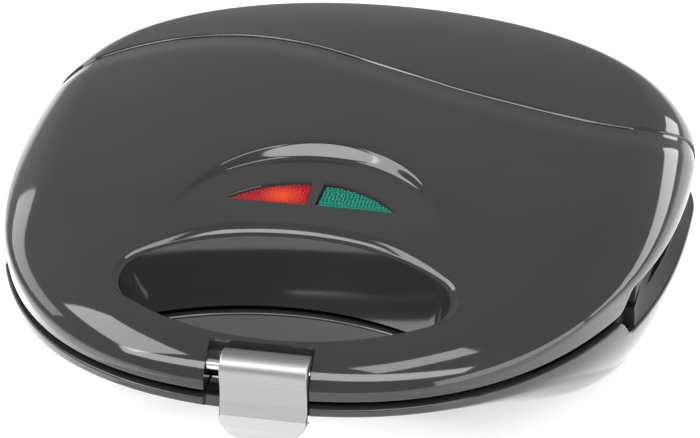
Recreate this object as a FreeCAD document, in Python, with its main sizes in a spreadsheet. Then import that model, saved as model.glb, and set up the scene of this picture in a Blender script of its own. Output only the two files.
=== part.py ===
import FreeCAD, Part
import math
import os
import re
from types import SimpleNamespace
import Sketcher
from FreeCAD import Rotation, Vector

# Sandwich maker, closed, standing on its feet. X is to the right, the front faces -Y, Z is up.
# The origin lies on the table, under the middle of the bounding box.

doc = FreeCAD.newDocument("SandwichMaker")
sheet = doc.addObject("Spreadsheet::Sheet", "Sizes")

driving = {
    # outline of both shells, two halves of a superellipse that meet at the widest line
    "body_width": 232.0,
    "widest_y": 47.0,
    "front_reach": 167.0,
    "rear_reach": 70.0,
    "front_power": 2.4,
    "rear_power": 2.4,
    "wall": 2.5,
    # heights of the seam and the domed lid; heights further down are taken from the seam
    "seam_height": 44.0,
    "seam_gap": 2.4,
    "lid_crown": 42.5,
    "crown_y": 75.0,
    "front_drop": 31.2,
    "rear_drop": 5.7,
    "side_drop": 15.8,
    "lid_flank": 8.0,
    "edge_roll": 20.0,
    "rim_tuck": 0.8,
    "pole_y": 14.0,
    # panel line across the rear of the lid
    "panel_step": 0.8,
    "panel_left_y": 69.0,
    "panel_mid_y": 53.0,
    "panel_right_y": 34.0,
    "panel_left_x": 60.0,
    "panel_right_x": 64.0,
    "panel_end_y": 78.0,
    # lower casing
    "floor_gap": 5.0,
    "pad_rise": 0.6,
    "pad_rim": 1.5,
    "base_flank": 2.0,
    "base_roll": 24.0,
    "loop_depth": 6.0,
    "loop_solid_y": -84.0,
    "hull_rear_y": -12.0,
    # finger opening in the handle loop
    "opening_rear_y": -57.0,
    "opening_front_y": -107.0,
    "opening_rear_radius": 91.0,
    "opening_front_radius": 84.0,
    "opening_end_radius": 12.0,
    "opening_lean": 5.0,
    "opening_top": 26.0,
    # lowered platform for the lights, with the crescent bevel behind it
    "platform_y": -55.0,
    "platform_radius": 41.0,
    "platform_height": 32.4,
    "platform_tilt": 8.0,
    "bevel_run": 3.2,
    "bevel_rise": 4.4,
    # indicator lights
    "light_chord_y": -42.0,
    "light_peak_y": -28.7,
    "light_tip": 28.0,
    "light_split": 3.0,
    "lens_sink": 0.8,
    "lens_flange": 1.0,
    "lens_flange_thickness": 1.4,
    # side grooves, where both shells step back from the seam
    "groove_front_y": -47.0,
    "groove_rear_y": 95.0,
    "groove_ramp": 8.0,
    "groove_corner": 3.5,
    "lid_groove": 8.0,
    "base_groove": 8.0,
    "ridge_x": 105.5,
    "skirt_depth": 5.0,
    # cooking plates and frames
    "plate_width": 186.0,
    "plate_depth": 118.0,
    "plate_y": 26.0,
    "plate_corner": 10.0,
    "plate_flange": 3.0,
    "plate_meet": 0.6,
    "plate_margin": 9.5,
    "cell_rib": 7.0,
    "diagonal_rib": 6.0,
    "pocket_depth": 11.0,
    "pocket_taper": 4.0,
    "pocket_corner": 7.0,
    "pocket_wall": 2.0,
    "post_radius": 4.0,
    "post_front_y": 4.0,
    "post_rear_y": 56.0,
    "frame_thickness": 3.0,
    "frame_side_gap": 1.6,
    "frame_ledge": 7.0,
    # heating elements and shields
    "heater_radius": 3.2,
    "heater_half_span": 50.0,
    "heater_front_y": -8.0,
    "heater_rear_y": 93.0,
    "heater_bend": 16.0,
    "shield_width": 150.0,
    "shield_depth": 92.0,
    "shield_thickness": 0.8,
    "shield_side": 6.0,
    "shield_gap": 1.4,
    # thermostat and fuse
    "control_x": 22.0,
    "control_y": 12.0,
    "thermostat_radius": 7.0,
    "thermostat_cap": 3.0,
    "thermostat_body_radius": 5.5,
    "thermostat_height": 6.6,
    "fuse_radius": 2.0,
    "fuse_length": 14.0,
    # lamps
    "lamp_radius": 2.6,
    "lamp_length": 15.0,
    "lamp_x": 14.0,
    "lamp_y": -35.0,
    "lamp_height": 20.6,
    "holder_thickness": 1.6,
    "holder_width": 74.0,
    "holder_depth": 14.0,
    "holder_screw_x": 33.0,
    "saddle_width": 5.0,
    # hinge
    "hinge_y": 121.0,
    "hinge_radius": 5.5,
    "hinge_pin_radius": 2.0,
    "hinge_x": 61.3,
    "knuckle_width": 12.0,
    "ear_width": 5.0,
    "ear_drop": 12.0,
    "knuckle_rise": 9.0,
    "hinge_reach": 17.0,
    "side_play": 0.3,
    # latch
    "notch_width": 33.0,
    "notch_back_y": -109.5,
    "latch_width": 27.4,
    "latch_shift": 2.4,
    "latch_pin_y": -115.5,
    "latch_pin_height": 8.8,
    "latch_pin_radius": 1.75,
    "latch_pin_tail": 5.0,
    "latch_barrel": 5.5,
    "latch_plate": 2.4,
    "latch_fold_height": -5.4,
    "latch_tab_reach": 5.5,
    "latch_tab_height": -10.4,
    "latch_tab_thickness": 2.0,
    "latch_corner": 4.0,
    "hook_top": -6.4,
    "hook_reach": 1.0,
    "catch_back_y": -117.2,
    # cord gland in the rear wall
    "gland_height": -9.0,
    "gland_bore": 3.6,
    "gland_neck": 6.0,
    "gland_flange": 8.0,
    "gland_flange_thickness": 2.0,
    "gland_play": 2.4,
    # terminal block and leads
    "block_width": 30.0,
    "block_depth": 10.0,
    "block_height": 12.0,
    "block_y": 84.0,
    "block_hole_radius": 1.5,
    "block_pitch": 9.0,
    "lead_radius": 1.1,
    "lead_bend": 5.0,
    "lead_spread": 1.6,
    # feet
    "foot_x": 62.0,
    "foot_front_y": 6.0,
    "foot_rear_y": 76.0,
    "foot_radius": 8.0,
    "foot_draft": 1.2,
    "foot_plug_radius": 4.0,
    # screws and their bosses; the case screws stand between the plates and the opening or rear wall
    "screw_head_radius": 3.0,
    "screw_head": 2.0,
    "screw_radius": 1.5,
    "screw_length": 12.0,
    "boss_radius": 4.0,
    "screw_front_x": 46.0,
    "screw_front_share": 0.5417,
    "screw_rear_x": 60.0,
    "screw_rear_share": 0.339,
    "plate_screw_radius": 1.2,
    "plate_screw_head_radius": 2.2,
    "plate_screw_head": 1.4,
    "plate_screw_bite": 2.0,
    "plate_screw_inset": 3.5,
    "plate_screw_pitch": 70.0,
    "shield_screw_length": 7.0,
    # clearances
    "fit": 0.3,
    "running_fit": 0.06,
    "press_fit": 0.02,
    "hole_room": 0.2,
    "overrun": 3.0,
}

for row, (alias, value) in enumerate(driving.items(), 1):
    sheet.set(f"A{row}", alias)
    sheet.set(f"B{row}", str(value))
    sheet.setAlias(f"B{row}", alias)
doc.recompute()

dim = SimpleNamespace(**{alias: float(sheet.get(alias)) for alias in driving})

# places that follow from the driving sizes
half_width = dim.body_width / 2
front_y = dim.widest_y - dim.front_reach
floor_z = dim.floor_gap + dim.pad_rise
rear_wall_in = dim.widest_y + dim.rear_reach - dim.wall
lid_rim = dim.seam_height + dim.seam_gap / 2
base_rim = dim.seam_height - dim.seam_gap / 2
crown = dim.seam_height + dim.lid_crown
lower_flange_top = dim.seam_height - dim.plate_meet / 2
upper_flange_bottom = dim.seam_height + dim.plate_meet / 2
base_frame_top = lower_flange_top - dim.plate_flange
base_frame_bottom = base_frame_top - dim.frame_thickness
lid_frame_bottom = upper_flange_bottom + dim.plate_flange
lid_frame_top = lid_frame_bottom + dim.frame_thickness
pocket_back = dim.pocket_depth + dim.pocket_wall
heater_offset = pocket_back + dim.fit / 2 + dim.heater_radius
shield_offset = heater_offset + dim.heater_radius + dim.shield_gap
collar = dim.wall + dim.fit
opening_top = dim.seam_height + dim.opening_top
platform_edge = dim.seam_height + dim.platform_height
lamp_z = dim.seam_height + dim.lamp_height
latch_pin_z = dim.seam_height + dim.latch_pin_height
gland_z = dim.seam_height + dim.gland_height
plate_front = dim.plate_y - dim.plate_depth / 2
plate_rear = dim.plate_y + dim.plate_depth / 2
screw_front = plate_front + (dim.opening_rear_y - plate_front) * dim.screw_front_share
screw_rear = plate_rear + (rear_wall_in - plate_rear) * dim.screw_rear_share
screw_places = [
    (dim.screw_front_x, screw_front),
    (-dim.screw_front_x, screw_front),
    (dim.screw_rear_x, screw_rear),
    (-dim.screw_rear_x, screw_rear),
]

ring_points = 48
ring_turns = [math.pi / 2 + 2 * math.pi * step / ring_points for step in range(ring_points)]
ring_parameters = [step / ring_points for step in range(ring_points + 1)]
roll_steps = 6
inner_ring_shares = (0.15, 0.3, 0.45, 0.6, 0.75)
last_ring_share = 0.9
skirt_shares = (0, 0.1, 0.2, 0.35, 0.5, 0.65, 0.8, 0.9, 1)


def bound(text):
    # the same sum with every name turned into a cell of the sheet
    return re.sub(r"[a-z]\w+", lambda word: "Sizes." + word.group(), text)


def value_of(text):
    return float(sheet.evalExpression(text))


def feature(label, shape):
    # a document object for a shape that code works out from the sheet
    holder = doc.addObject("Part::Feature", label)
    holder.Label = label
    holder.Shape = shape
    return holder


def named(label, made):
    made.Label = label
    return made


def origin_plane(body, role):
    return next(plane for plane in body.Origin.OriginFeatures if plane.Role == role)


def profile(body, role, corners):
    # a closed, fully constrained sketch: each corner is a pair of sums of sheet names
    sketch = body.newObject("Sketcher::SketchObject", body.Name + "Profile")
    sketch.AttachmentSupport = [(origin_plane(body, role), "")]
    sketch.MapMode = "FlatFace"
    places = [Vector(value_of(across), value_of(up), 0) for across, up in corners]
    count = len(corners)
    for index in range(count):
        sketch.addGeometry(Part.LineSegment(places[index], places[(index + 1) % count]))
    for index in range(count):
        sketch.addConstraint(Sketcher.Constraint("Coincident", index, 2, (index + 1) % count, 1))
    for index, (across, up) in enumerate(corners):
        for kind, text, start in (("DistanceX", across, places[index].x), ("DistanceY", up, places[index].y)):
            number = sketch.addConstraint(Sketcher.Constraint(kind, -1, 1, index, 1, start))
            sketch.setExpression(f"Constraints[{number}]", bound(text))
    return sketch


def turned_body(label, corners):
    # a revolved body about its own Z axis
    body = doc.addObject("PartDesign::Body", label)
    sketch = profile(body, "XZ_Plane", corners)
    turn = body.newObject("PartDesign::Revolution", label + "Turn")
    turn.Profile = sketch
    turn.ReferenceAxis = (sketch, ["V_Axis"])
    turn.Angle = 360
    return named(label, body)


def padded_body(label, role, corners, length):
    body = doc.addObject("PartDesign::Body", label)
    sketch = profile(body, role, corners)
    pad = body.newObject("PartDesign::Pad", label + "Pad")
    pad.Profile = sketch
    pad.Midplane = True
    pad.setExpression("Length", bound(length))
    return named(label, body)


def place(made, x="0", y="0", z="0"):
    for axis, text in (("x", x), ("y", y), ("z", z)):
        made.setExpression("Placement.Base." + axis, bound(text))
    return made


def cylinder(label, radius, length, x="0", y="0", z="0", along="z"):
    rod = doc.addObject("Part::Cylinder", label)
    rod.setExpression("Radius", bound(radius))
    rod.setExpression("Height", bound(length))
    turn = {"x": Rotation(Vector(0, 1, 0), 90), "y": Rotation(Vector(1, 0, 0), -90), "z": Rotation()}[along]
    rod.Placement = FreeCAD.Placement(Vector(), turn)
    return named(label, place(rod, x, y, z))


def box(label, length, width, height, x, y, z):
    block = doc.addObject("Part::Box", label)
    block.setExpression("Length", bound(length))
    block.setExpression("Width", bound(width))
    block.setExpression("Height", bound(height))
    return named(label, place(block, x, y, z))


def cut(label, base, tool):
    made = doc.addObject("Part::Cut", label)
    made.Base = base
    made.Tool = tool
    return named(label, made)


def fuse(label, shapes):
    made = doc.addObject("Part::MultiFuse", label)
    made.Shapes = shapes
    return named(label, made)


def solid_box(x0, x1, y0, y1, z0, z1):
    return Part.makeBox(x1 - x0, y1 - y0, z1 - z0, Vector(x0, y0, z0))


def column(radius, x, y, z0, z1):
    return Part.makeCylinder(radius, z1 - z0, Vector(x, y, z0))


def cross_rod(radius, x0, x1, y, z):
    return Part.makeCylinder(radius, x1 - x0, Vector(x0, y, z), Vector(1, 0, 0))


def single(shape):
    # the one solid that a boolean leaves
    return max(shape.Solids, key=lambda solid: solid.BoundBox.DiagonalLength)


# Shells: rings on a superellipse, drawn in and raised to a rolled edge and a dome


def plan_point(turn, inset):
    across, along = math.cos(turn), math.sin(turn)
    front = along < 0
    reach = dim.front_reach if front else dim.rear_reach
    power = dim.front_power if front else dim.rear_power
    x = (half_width - inset) * math.copysign(abs(across) ** (2 / power), across)
    y = dim.widest_y + (reach - inset) * math.copysign(abs(along) ** (2 / power), along)
    return x, y


def outline_x(y):
    front = y < dim.widest_y
    reach = dim.front_reach if front else dim.rear_reach
    power = dim.front_power if front else dim.rear_power
    return half_width * (1 - (abs(y - dim.widest_y) / reach) ** power) ** (1 / power)


def dome_height(x, y):
    if y < dim.crown_y:
        fall = dim.front_drop * ((dim.crown_y - y) / (dim.crown_y - front_y)) ** 2
    else:
        rear_y = dim.widest_y + dim.rear_reach
        fall = dim.rear_drop * ((y - dim.crown_y) / (rear_y - dim.crown_y)) ** 2
    return crown - fall - dim.side_drop * (x / half_width) ** 2


def ring(points):
    curve = Part.BSplineCurve()
    curve.interpolate(Points=points, PeriodicFlag=True, Parameters=ring_parameters)
    return Part.Wire(curve.toShape())


def hull_height(y):
    # underside of the base: thin at the handle loop, falling smoothly to a flat floor
    share = min(max((y - front_y) / (dim.hull_rear_y - front_y), 0), 1)
    blend = share * share * (3 - 2 * share)
    loop_bottom = base_rim - dim.loop_depth
    return loop_bottom + (floor_z - loop_bottom) * blend


def flat_ring(inset, z):
    return ring([Vector(*plan_point(turn, inset), z) for turn in ring_turns])


def rolled_form(inset, start_z, flank_z, roll, surface):
    # rim ring, flank ring, the rings of the rolled edge, then rings that shrink
    # towards the pole, the last one flat
    rings = [flat_ring(inset + dim.rim_tuck, start_z)]
    rings.append(flat_ring(inset + dim.rim_tuck / 4, (start_z + flank_z) / 2))
    for step in range(roll_steps + 1):
        angle = math.pi / 2 * step / roll_steps
        points = []
        for turn in ring_turns:
            x, y = plan_point(turn, inset + roll * (1 - math.cos(angle)))
            points.append(Vector(x, y, flank_z + (surface(x, y) - flank_z) * math.sin(angle)))
        rings.append(ring(points))
    slope = (surface(0, dim.pole_y + roll) - surface(0, dim.pole_y - roll)) / (2 * roll)
    for share in inner_ring_shares + (last_ring_share,):
        points = []
        for turn in ring_turns:
            x, y = plan_point(turn, inset + roll)
            x, y = x * (1 - share), dim.pole_y + (y - dim.pole_y) * (1 - share)
            z = surface(x, y)
            if share == last_ring_share:
                z = surface(0, dim.pole_y) + slope * (y - dim.pole_y)
            points.append(Vector(x, y, z))
        rings.append(ring(points))
    return Part.makeLoft(rings, True, False)


def lid_form(inset, start_z):
    return rolled_form(inset, start_z, lid_rim + dim.lid_flank, dim.edge_roll,
                       lambda x, y: dome_height(x, y) - inset)


def base_form(inset, start_z):
    return rolled_form(inset, start_z, base_rim - dim.base_flank, dim.base_roll,
                       lambda x, y: hull_height(y) + inset)


def opening_wire(z, grow):
    # rear and front arcs on the centre line, joined by tangent end arcs
    lean = dim.opening_lean * max(opening_top - z, 0) / dim.opening_top
    lean = min(lean, dim.opening_lean)
    rear_radius = dim.opening_rear_radius - lean + grow
    front_radius = dim.opening_front_radius + grow
    end_radius = dim.opening_end_radius + grow
    rear_centre = dim.opening_rear_y - dim.opening_rear_radius
    front_centre = dim.opening_front_y + dim.opening_front_radius
    span = front_centre - rear_centre
    to_rear, to_front = rear_radius - end_radius, front_radius - end_radius
    along = (to_rear**2 - to_front**2 + span**2) / (2 * span)
    end_x = math.sqrt(to_rear**2 - along**2)
    end_y = rear_centre + along

    def on_line(centre, radius, side):
        way = Vector(side * end_x, end_y - centre, 0).normalize()
        return Vector(0, centre, z) + way * radius

    rear = [on_line(rear_centre, rear_radius, side) for side in (-1, 1)]
    front = [on_line(front_centre, front_radius, side) for side in (-1, 1)]
    arcs = [
        Part.Arc(rear[0], Vector(0, rear_centre + rear_radius, z), rear[1]),
        Part.Arc(rear[1], Vector(end_x + end_radius, end_y, z), front[1]),
        Part.Arc(front[1], Vector(0, front_centre - front_radius, z), front[0]),
        Part.Arc(front[0], Vector(-end_x - end_radius, end_y, z), rear[0]),
    ]
    return Part.Wire([arc.toShape() for arc in arcs])


def opening_form(z0, z1, grow):
    levels = [z0] + [z for z in (dim.seam_height, opening_top) if z0 < z < z1] + [z1]
    return Part.makeLoft([opening_wire(z, grow) for z in levels], True, True)


def platform_tool(grow):
    # what the crescent bevel and the tilted platform take off the dome
    centre = Vector(0, dim.platform_y, platform_edge - grow)
    rise = 2 * dim.bevel_rise + grow
    run = dim.bevel_run * rise / dim.bevel_rise
    radius = dim.platform_radius + grow
    cone = Part.makeCone(radius, radius + run, rise, centre)
    depth = 2 * radius
    skirt = Part.makeCylinder(radius, depth, Vector(0, dim.platform_y, centre.z - depth))
    below = solid_box(-depth, depth, -2 * depth, depth, -2 * depth, 0)
    below.rotate(Vector(), Vector(1, 0, 0), dim.platform_tilt)
    below.translate(Vector(0, dim.platform_y + dim.platform_radius, centre.z))
    return cone.fuse(skirt).cut(below)


def platform_slab(top, bottom):
    # the layer between two depths below the tilted platform
    half = 2 * dim.platform_radius
    slab = solid_box(-half, half, -2 * half, half, -bottom, -top)
    slab.rotate(Vector(), Vector(1, 0, 0), dim.platform_tilt)
    slab.translate(Vector(0, dim.platform_y + dim.platform_radius, platform_edge))
    return slab


def light_form(side, grow):
    # upright prism of one indicator window: chord, arc and the split edge
    rise = dim.light_peak_y - dim.light_chord_y
    radius = (dim.light_tip**2 + rise**2) / (2 * rise)
    disc = column(radius + grow, 0, dim.light_peak_y - radius, dim.seam_height, crown)
    inner, outer = dim.light_split / 2 - grow, radius
    x0, x1 = (inner, outer) if side > 0 else (-outer, -inner)
    window = solid_box(x0, x1, dim.light_chord_y - grow, dim.light_peak_y + radius, dim.seam_height, crown)
    return disc.common(window)


def groove_tool(shell_z, away):
    # upright cut through both sides: a long slot with sloped ends, open towards the seam
    front, rear = dim.groove_front_y, dim.groove_rear_y
    open_z = shell_z - away * dim.overrun
    steep = dim.groove_ramp / (dim.lid_groove + dim.overrun)
    reach = dim.lid_groove if away > 0 else dim.base_groove
    end_z = dim.seam_height + away * reach
    ramp = steep * abs(end_z - open_z)
    corners = [(front, open_z), (front + ramp, end_z), (rear - ramp, end_z), (rear, open_z)]
    points = [Vector(0, y, z) for y, z in corners]
    face = Part.Face(Part.makePolygon(points + points[:1]))
    prism = face.extrude(Vector(half_width, 0, 0))
    inner_edges = [
        edge
        for edge in prism.Edges
        if abs(edge.Length - half_width) < dim.fit and abs(edge.CenterOfMass.z - end_z) < dim.fit
    ]
    prism = prism.makeFillet(dim.groove_corner, inner_edges)
    start = dim.ridge_x - dim.skirt_depth - dim.overrun
    left, right = prism.copy(), prism
    right.translate(Vector(start, 0, 0))
    left.translate(Vector(-start - half_width, 0, 0))
    return right.fuse(left)


def panel_tool():
    # plan region behind the curved panel line
    points = [
        Vector(-half_width - dim.overrun, dim.panel_end_y, 0),
        Vector(-dim.panel_left_x, dim.panel_left_y, 0),
        Vector(0, dim.panel_mid_y, 0),
        Vector(dim.panel_right_x, dim.panel_right_y, 0),
        Vector(half_width + dim.overrun, dim.panel_end_y, 0),
    ]
    curve = Part.BSplineCurve()
    curve.interpolate(points)
    far = dim.widest_y + 2 * dim.rear_reach
    back = [points[-1], Vector(points[-1].x, far, 0), Vector(points[0].x, far, 0), points[0]]
    face = Part.Face(Part.Wire([curve.toShape()] + Part.makePolygon(back).Edges))
    face.translate(Vector(0, 0, lid_rim - dim.overrun))
    return face.extrude(Vector(0, 0, crown))


def bosses(z0, z1):
    made = [column(dim.boss_radius, x, y, z0, z1) for x, y in screw_places]
    return made[0].fuse(made[1:])


def screw_holes(radius, z0, z1):
    made = [column(radius, x, y, z0, z1) for x, y in screw_places]
    return made[0].fuse(made[1:])


def hinge_sides(offset):
    # the two hinges, mirrored
    return [side * (dim.hinge_x + offset) for side in (-1, 1)]


def hinge_lug(x, width, z0, z1):
    # barrel about the hinge axis with a web that runs forward into the shell
    barrel = cross_rod(dim.hinge_radius, x - width / 2, x + width / 2, dim.hinge_y, dim.seam_height)
    web = solid_box(x - width / 2, x + width / 2, dim.hinge_y - dim.hinge_reach, dim.hinge_y, z0, z1)
    return barrel.fuse(web)


def make_lid_shell():
    half_notch = dim.notch_width / 2
    holder_top = lamp_z - dim.lamp_radius
    body = lid_form(0, lid_rim)
    body = body.cut(panel_tool().cut(lid_form(dim.panel_step, lid_rim - dim.overrun)))
    body = body.cut(platform_tool(0))
    cavity = lid_form(dim.wall, lid_rim - dim.overrun)
    cavity = cavity.cut(platform_tool(dim.wall))
    cavity = cavity.cut(opening_form(base_rim, crown, dim.wall))
    block = solid_box(-half_notch - dim.wall, half_notch + dim.wall, front_y, dim.opening_front_y,
                      base_rim, crown)
    cavity = cavity.cut(block)
    shell = body.cut(cavity)
    shell = shell.cut(opening_form(base_rim, crown, 0))
    shell = shell.cut(solid_box(-half_notch, half_notch, front_y - dim.overrun, dim.notch_back_y,
                                base_rim, crown))
    shell = shell.cut(groove_tool(lid_rim, 1))
    for side in (-1, 1):
        shell = shell.cut(light_form(side, 0))
    posts = bosses(lid_frame_top, crown)
    for side in (-1, 1):
        posts = posts.fuse(column(dim.boss_radius, side * dim.holder_screw_x, dim.lamp_y, holder_top, crown))
    shell = shell.fuse(posts.common(body))
    for x in hinge_sides(0):
        lug = hinge_lug(x, dim.knuckle_width, dim.seam_height, dim.seam_height + dim.knuckle_rise)
        shell = shell.fuse(lug.cut(cavity))
    shell = shell.cut(cross_rod(dim.hinge_pin_radius + dim.running_fit, -half_width, half_width,
                                dim.hinge_y, dim.seam_height))
    half_pin = half_notch + dim.latch_pin_tail
    shell = shell.cut(cross_rod(dim.latch_pin_radius + dim.press_fit, -half_pin, half_pin,
                                dim.latch_pin_y, latch_pin_z))
    pilot = dim.screw_radius + dim.press_fit
    shell = shell.cut(screw_holes(pilot, lid_frame_bottom, lid_frame_bottom + dim.screw_length))
    for side in (-1, 1):
        hole = column(pilot, side * dim.holder_screw_x, dim.lamp_y, holder_top - dim.holder_thickness,
                      holder_top + dim.shield_screw_length)
        shell = shell.cut(hole)
    return feature("lid_shell", single(shell))


def gland_slot():
    # upright slot, round at its foot, open at the rim
    half = dim.gland_neck
    inside = rear_wall_in - dim.overrun
    outside = dim.hinge_y + dim.overrun
    foot = Part.makeCylinder(half, outside - inside, Vector(0, inside, gland_z), Vector(0, 1, 0))
    return foot.fuse(solid_box(-half, half, inside, outside, gland_z, dim.seam_height))


def make_base_shell():
    half_notch = dim.notch_width / 2
    above = lid_rim + dim.overrun
    body = base_form(0, base_rim)
    cavity = base_form(dim.wall, base_rim + dim.overrun)
    cavity = cavity.cut(opening_form(0, above, dim.wall))
    solid_loop = solid_box(-half_width, half_width, front_y, dim.loop_solid_y, dim.floor_gap, above)
    cavity = cavity.cut(solid_loop)
    shell = body.cut(cavity)
    shell = shell.cut(opening_form(0, above, 0))
    shell = shell.cut(solid_box(-half_notch, half_notch, front_y - dim.overrun, dim.catch_back_y,
                                dim.floor_gap, above))
    shell = shell.cut(groove_tool(base_rim, -1))
    shell = shell.fuse(bosses(dim.floor_gap, base_frame_bottom).common(body))
    for end in (-1, 1):
        step = end * (dim.knuckle_width + dim.ear_width + 2 * dim.side_play) / 2
        for x in hinge_sides(step):
            lug = hinge_lug(x, dim.ear_width, dim.seam_height - dim.ear_drop, dim.seam_height)
            shell = shell.fuse(lug.cut(cavity))
    shell = shell.cut(cross_rod(dim.hinge_pin_radius + dim.press_fit, -half_width, half_width,
                                dim.hinge_y, dim.seam_height))
    shell = shell.cut(gland_slot())
    pilot = dim.screw_radius + dim.press_fit
    shell = shell.cut(screw_holes(pilot, base_frame_top - dim.screw_length, base_frame_top))
    pad_radius = dim.foot_radius + dim.foot_draft + dim.pad_rim
    for x in (-dim.foot_x, dim.foot_x):
        for y in (dim.foot_front_y, dim.foot_rear_y):
            shell = shell.fuse(column(pad_radius, x, y, dim.floor_gap, dim.floor_gap + dim.wall))
            plug = column(dim.foot_plug_radius + dim.press_fit, x, y, 0, floor_z + dim.wall + dim.overrun)
            shell = shell.cut(plug)
    return feature("base_shell", single(shell))


# Frames: a plate that closes each half, with skirts that fill the side grooves


def rounded_block(width, depth, corner, z0, z1):
    block = solid_box(-width / 2, width / 2, dim.plate_y - depth / 2, dim.plate_y + depth / 2, z0, z1)
    upright = [edge for edge in block.Edges if abs(edge.BoundBox.ZLength - (z1 - z0)) < dim.press_fit]
    return block.makeFillet(corner, upright)


def skirts(ridge_z, groove_z):
    # ruled wedge from the straight ridge at the seam out to the curved shell edge
    room = dim.groove_ramp + dim.groove_corner
    start = dim.groove_front_y + room
    end = dim.groove_rear_y - room
    sections = []
    for share in skirt_shares:
        y = start + (end - start) * share
        outer = outline_x(y) - dim.rim_tuck
        ridge = min(dim.ridge_x, outer - dim.fit)
        inner = dim.ridge_x - dim.skirt_depth
        corners = [
            Vector(inner, y, groove_z),
            Vector(outer, y, groove_z),
            Vector(ridge, y, ridge_z),
            Vector(inner, y, ridge_z),
        ]
        sections.append(Part.makePolygon(corners + corners[:1]))
    right = Part.makeLoft(sections, True, True)
    return right, right.mirror(Vector(), Vector(1, 0, 0))


def make_frame(label, z0, z1, ridge_z, groove_z, lower):
    frame = Part.Face(flat_ring(dim.wall + dim.frame_side_gap, z0)).extrude(Vector(0, 0, z1 - z0))
    for skirt in skirts(ridge_z, groove_z):
        frame = frame.fuse(skirt)
    room = 2 * dim.frame_ledge
    corner = dim.plate_corner
    low, high = z0 - dim.overrun, z1 + dim.overrun
    frame = frame.cut(
        rounded_block(dim.plate_width - room, dim.plate_depth - room, corner, low, high)
    )
    # the flange beds in the ledge, so the raised skirts stay clear of it
    bed = (z1, z1 + dim.overrun) if ridge_z > z1 else (z0 - dim.overrun, z0)
    frame = frame.cut(
        rounded_block(dim.plate_width + 2 * dim.fit, dim.plate_depth + 2 * dim.fit, corner, *bed)
    )
    frame = frame.cut(opening_form(low, high, collar))
    half = dim.notch_width / 2 + collar
    frame = frame.cut(solid_box(-half, half, front_y, dim.opening_front_y, low, high))
    frame = frame.cut(screw_holes(dim.screw_radius + dim.hole_room, low, high))
    for x, y in plate_screw_places():
        frame = frame.cut(column(dim.plate_screw_radius + dim.hole_room, x, y, low, high))
    if lower:
        half = dim.gland_flange + dim.fit
        inside = rear_wall_in - dim.gland_play - dim.gland_flange_thickness - dim.fit
        frame = frame.cut(solid_box(-half, half, inside, dim.hinge_y, low, high))
        front = dim.loop_solid_y + dim.fit
        frame = frame.cut(solid_box(-half_width, half_width, front_y, front, low, high))
    return feature(label, single(frame))


def plate_screw_places():
    x = dim.plate_width / 2 - dim.plate_screw_inset
    half = dim.plate_screw_pitch / 2
    return [(side * x, dim.plate_y + end * half) for side in (-1, 1) for end in (-1, 1)]


# Cooking plates: a flange with four triangular pockets, written for the lower half


def triangle_wire(corners, radius, z):
    # triangle with rounded corners, run anticlockwise
    edges = []
    starts, ends = [], []
    for index in range(3):
        here, before, after = corners[index], corners[index - 1], corners[(index + 1) % 3]
        back, ahead = (before - here).normalize(), (after - here).normalize()
        half_angle = back.getAngle(ahead) / 2
        reach = radius / math.tan(half_angle)
        centre = here + (back + ahead).normalize() * (radius / math.sin(half_angle))
        middle = centre + (here - centre).normalize() * radius
        starts.append(here + back * reach)
        ends.append(here + ahead * reach)
        lift = Vector(0, 0, z)
        edges.append(Part.Arc(starts[-1] + lift, middle + lift, ends[-1] + lift).toShape())
    for index in range(3):
        lift = Vector(0, 0, z)
        edges.append(Part.makeLine(ends[index] + lift, starts[(index + 1) % 3] + lift))
    return Part.Wire(Part.__sortEdges__(edges))


def inset_triangle(corners, inset):
    # each corner moves along its bisector so that every side moves in by the inset
    moved = []
    for index in range(3):
        here, before, after = corners[index], corners[index - 1], corners[(index + 1) % 3]
        back, ahead = (before - here).normalize(), (after - here).normalize()
        half_angle = back.getAngle(ahead) / 2
        moved.append(here + (back + ahead).normalize() * (inset / math.sin(half_angle)))
    return moved


def pocket_triangles():
    # two triangles in each of the two cells, split by a diagonal rib
    x0 = dim.cell_rib / 2
    x1 = dim.plate_width / 2 - dim.plate_margin
    y0 = dim.plate_y - dim.plate_depth / 2 + dim.plate_margin
    y1 = dim.plate_y + dim.plate_depth / 2 - dim.plate_margin
    slope = math.hypot(x1 - x0, y1 - y0)
    shift_x = dim.diagonal_rib / 2 * slope / (y1 - y0)
    shift_y = dim.diagonal_rib / 2 * slope / (x1 - x0)
    near = [Vector(x0, y0, 0), Vector(x1 - shift_x, y0, 0), Vector(x0, y1 - shift_y, 0)]
    far = [Vector(x1, y1, 0), Vector(x0 + shift_x, y1, 0), Vector(x1, y0 + shift_y, 0)]
    mirrored = [[Vector(-v.x, v.y, 0) for v in reversed(corners)] for corners in (near, far)]
    return [near, far] + mirrored


def pocket_form(corners, grow, top, bottom):
    # tapered cup: the foot of the pocket is drawn in by the taper
    opened = inset_triangle(corners, -grow)
    foot = inset_triangle(corners, dim.pocket_taper - grow)
    radius = dim.pocket_corner + grow
    foot_radius = max(radius - dim.pocket_taper / 2, dim.pocket_wall)
    return Part.makeLoft([triangle_wire(opened, radius, top), triangle_wire(foot, foot_radius, bottom)], True, True)


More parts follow.
